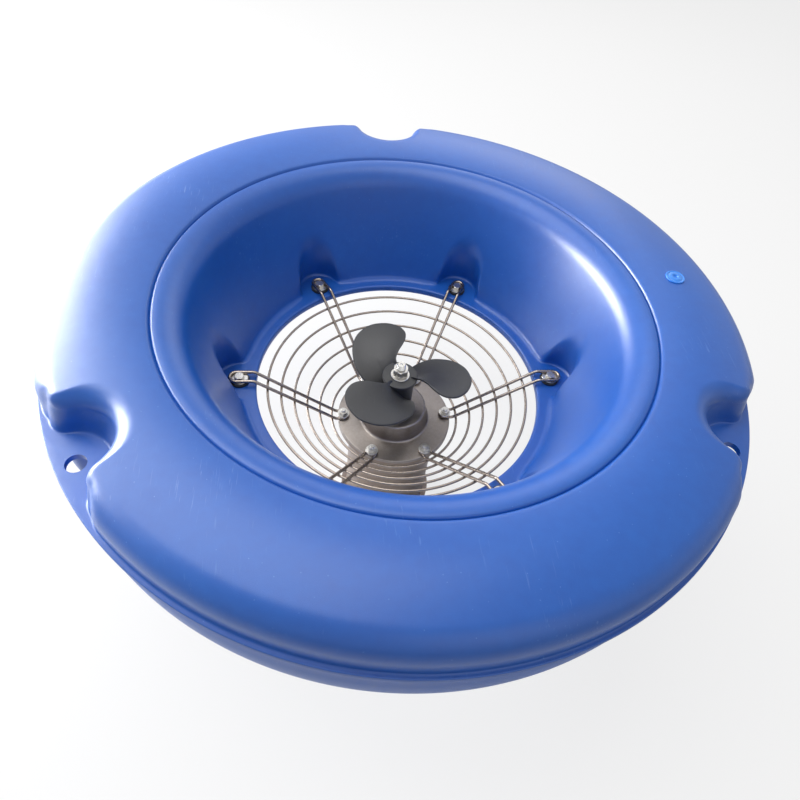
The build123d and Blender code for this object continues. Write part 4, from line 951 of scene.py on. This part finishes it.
# Rings of the outline drawn in towards a middle point, over and under, with the edge rounded:
# half thickness = sqrt(h^2 - (h - distance to the edge)^2) near the edge, h inside.
def bladeGrid(s):
    span = s["tip"] - s["hubRadius"]
    polar = [(s["hubRadius"] + share * span, degrees) for share, degrees in s["outline"]] + s["root"]
    radius, degrees = np.array(polar).T
    edge = smoothLoop(polarPoints(radius, np.radians(degrees), 0)[:, :2], s["edgeSteps"])
    centre, half = np.array(s["middle"]), s["thickness"] / 2
    reach = np.linalg.norm(edge - centre, axis=1)
    depth = np.concatenate([half * (1 - np.cos(np.radians(np.linspace(0, 90, 6)))), s["depths"]])
    share = np.clip(1 - depth[None, :] / reach[:, None], s["smallest"], 1)
    xy = centre + (edge - centre)[:, None, :] * share[:, :, None]
    lift = np.sqrt(half ** 2 - (half - np.clip(depth, 0, half)) ** 2)
    radius, degrees = np.hypot(xy[..., 0], xy[..., 1]), np.degrees(np.arctan2(xy[..., 1], xy[..., 0]))
    middleHeight = bladeHeight(np.hypot(*centre), math.degrees(math.atan2(centre[1], centre[0])), s)
    layers, caps = [], []
    for sign in (1, -1):
        z = bladeHeight(radius, degrees, s) + sign * lift * s["swell"]
        layers.append(np.concatenate([xy, z[..., None]], axis=-1))
        caps.append(np.broadcast_to([*centre, middleHeight + sign * half * s["swell"]], (len(edge), 1, 3)))
    return np.concatenate([caps[0], layers[0][:, ::-1], layers[1][:, 1:], caps[1]], axis=1)


def buildPropeller(s):
    blade = bladeGrid(s)
    grids = []
    for k in range(s["blades"]):
        grids.append((aroundAxis(blade, s["bearing"] + 360 / s["blades"] * k) * mm, True, False))
    discBottom = s["hubTop"] - s["discThickness"]
    hubRound, neck, disc = s["hubRound"], s["neckRound"], s["discRound"]
    hub = np.concatenate([
        [(s["bore"], s["hubBottom"])],
        arcPoints((s["hubRadius"] - hubRound, s["hubBottom"] + hubRound), hubRound, 270, 360, 5),
        arcPoints((s["hubRadius"] + neck, discBottom - neck), neck, 180, 90, 4),
        arcPoints((s["discRadius"] - disc, discBottom + disc), disc, 270, 360, 4),
        arcPoints((s["discRadius"] - hubRound, s["hubTop"] - hubRound), hubRound, 0, 90, 5),
        [(s["bore"], s["hubTop"])]])
    grids.append(turnedGrid(hub, s["hubSides"]))
    propeller = meshFromGrids("propellerBlades", grids, "propellerNylon", turningBody, ["propeller"], 40)
    print("propeller ready")


buildPropeller(propellerSettings)

shaftSettings = {
    "sides": 72, "thread": (14.0, 2.0, 331.0, 356.0),  # diameter, pitch, lowest, highest
    "profile": [(0, 9.5), (9, 9.5), (10, 10.5), (10, 23.5), (13, 23.5), (13, 207), (10, 207), (10, 262),
                (9, 262), (9, 330), (6.9, 330), (6.9, 331), (0, 331)],
    "drilling": [(5.2, 356), (2, 356), (1.2, 354.4), (0, 353.6)],
}


# Turned shaft with a cut thread above the hub and a small drilled centre in its tip.
def buildShaft(s):
    thread = threadGrid(*s["thread"], (0, 0, 0))[0]
    tip = np.concatenate([thread[:, :-1], turnedGrid(s["drilling"], threadSettings["sides"])[0]], axis=1)
    grids = [turnedGrid(s["profile"], s["sides"]), (tip, True, False)]
    shaft = meshFromGrids("rotorShaft", grids, "shaftSteel", turningBody, ["rotor_shaft"], 35)


buildShaft(shaftSettings)

springSettings = {
    "low": 333.0, "high": 336.5, "inner": 7.2, "outer": 12.0, "gap": 9, "rise": 0.7, "steps": 90,
}


# A split ring: a square section carried round most of a turn while it climbs by `rise`.
def buildSpringWasher(s):
    a = np.radians(np.linspace(s["gap"] / 2, 360 - s["gap"] / 2, s["steps"]))
    climb = np.linspace(0, s["rise"], len(a))[:, None]
    top = s["high"] - s["rise"]
    corners = np.array([(s["inner"], s["low"]), (s["outer"], s["low"]), (s["outer"], top), (s["inner"], top)])
    grid = polarPoints(corners[:, 0], a[:, None], corners[:, 1] + climb)
    start, end = (np.repeat(row.mean(1, keepdims=True), 4, 1) for row in (grid[:1], grid[-1:]))
    grids = [(np.concatenate([start, grid, end]) * mm, False, True)]
    node = "propeller_spring_washer"
    spring = meshFromGrids("propellerSpringWasher", grids, "boltSteel", turningBody, [node], 35)


buildSpringWasher(springSettings)

# Finishes on the carried-over solids

finishes = {
    "coverSteel": ["motor_top_cover", "motor_base_cover"], "casingSteelPaintedReflection": ["motor_casing"],
    "coreSteel": ["stator_core", "rotor_core"], "copperWire": ["stator_winding"], "cageMetal": ["rotor_cage"],
    "shaftSteel": ["propeller_key"], "sealCeramic": ["seal_seat"], "sealCarbon": ["seal_face"],
    "padRubber": ["seal_seat_cup", "seal_bellows", "top_cover_oring", "base_cover_oring", "cable_gland_bush"],
    "glandNylon": ["cable_gland_body", "cable_gland_nut"],
}
solidCrease = 32  # degrees


# Every other solid is a bearing part or a small stainless part.
def finishNodes(table):
    chosen = {node: finish for finish, names in table.items() for node in names}
    for name, node in nodes.items():
        finish = chosen.get(name, "bearingSteel" if "bearing" in name else "boltSteel")
        node.data.materials.clear()
        node.data.materials.append(materials[finish])
        node.data.shade_smooth()
        node.data.set_sharp_from_angle(angle=math.radians(solidCrease))
        node.data.update()
    print("finishes on", len(nodes), "solids")


finishNodes(finishes)

print("scene ready")
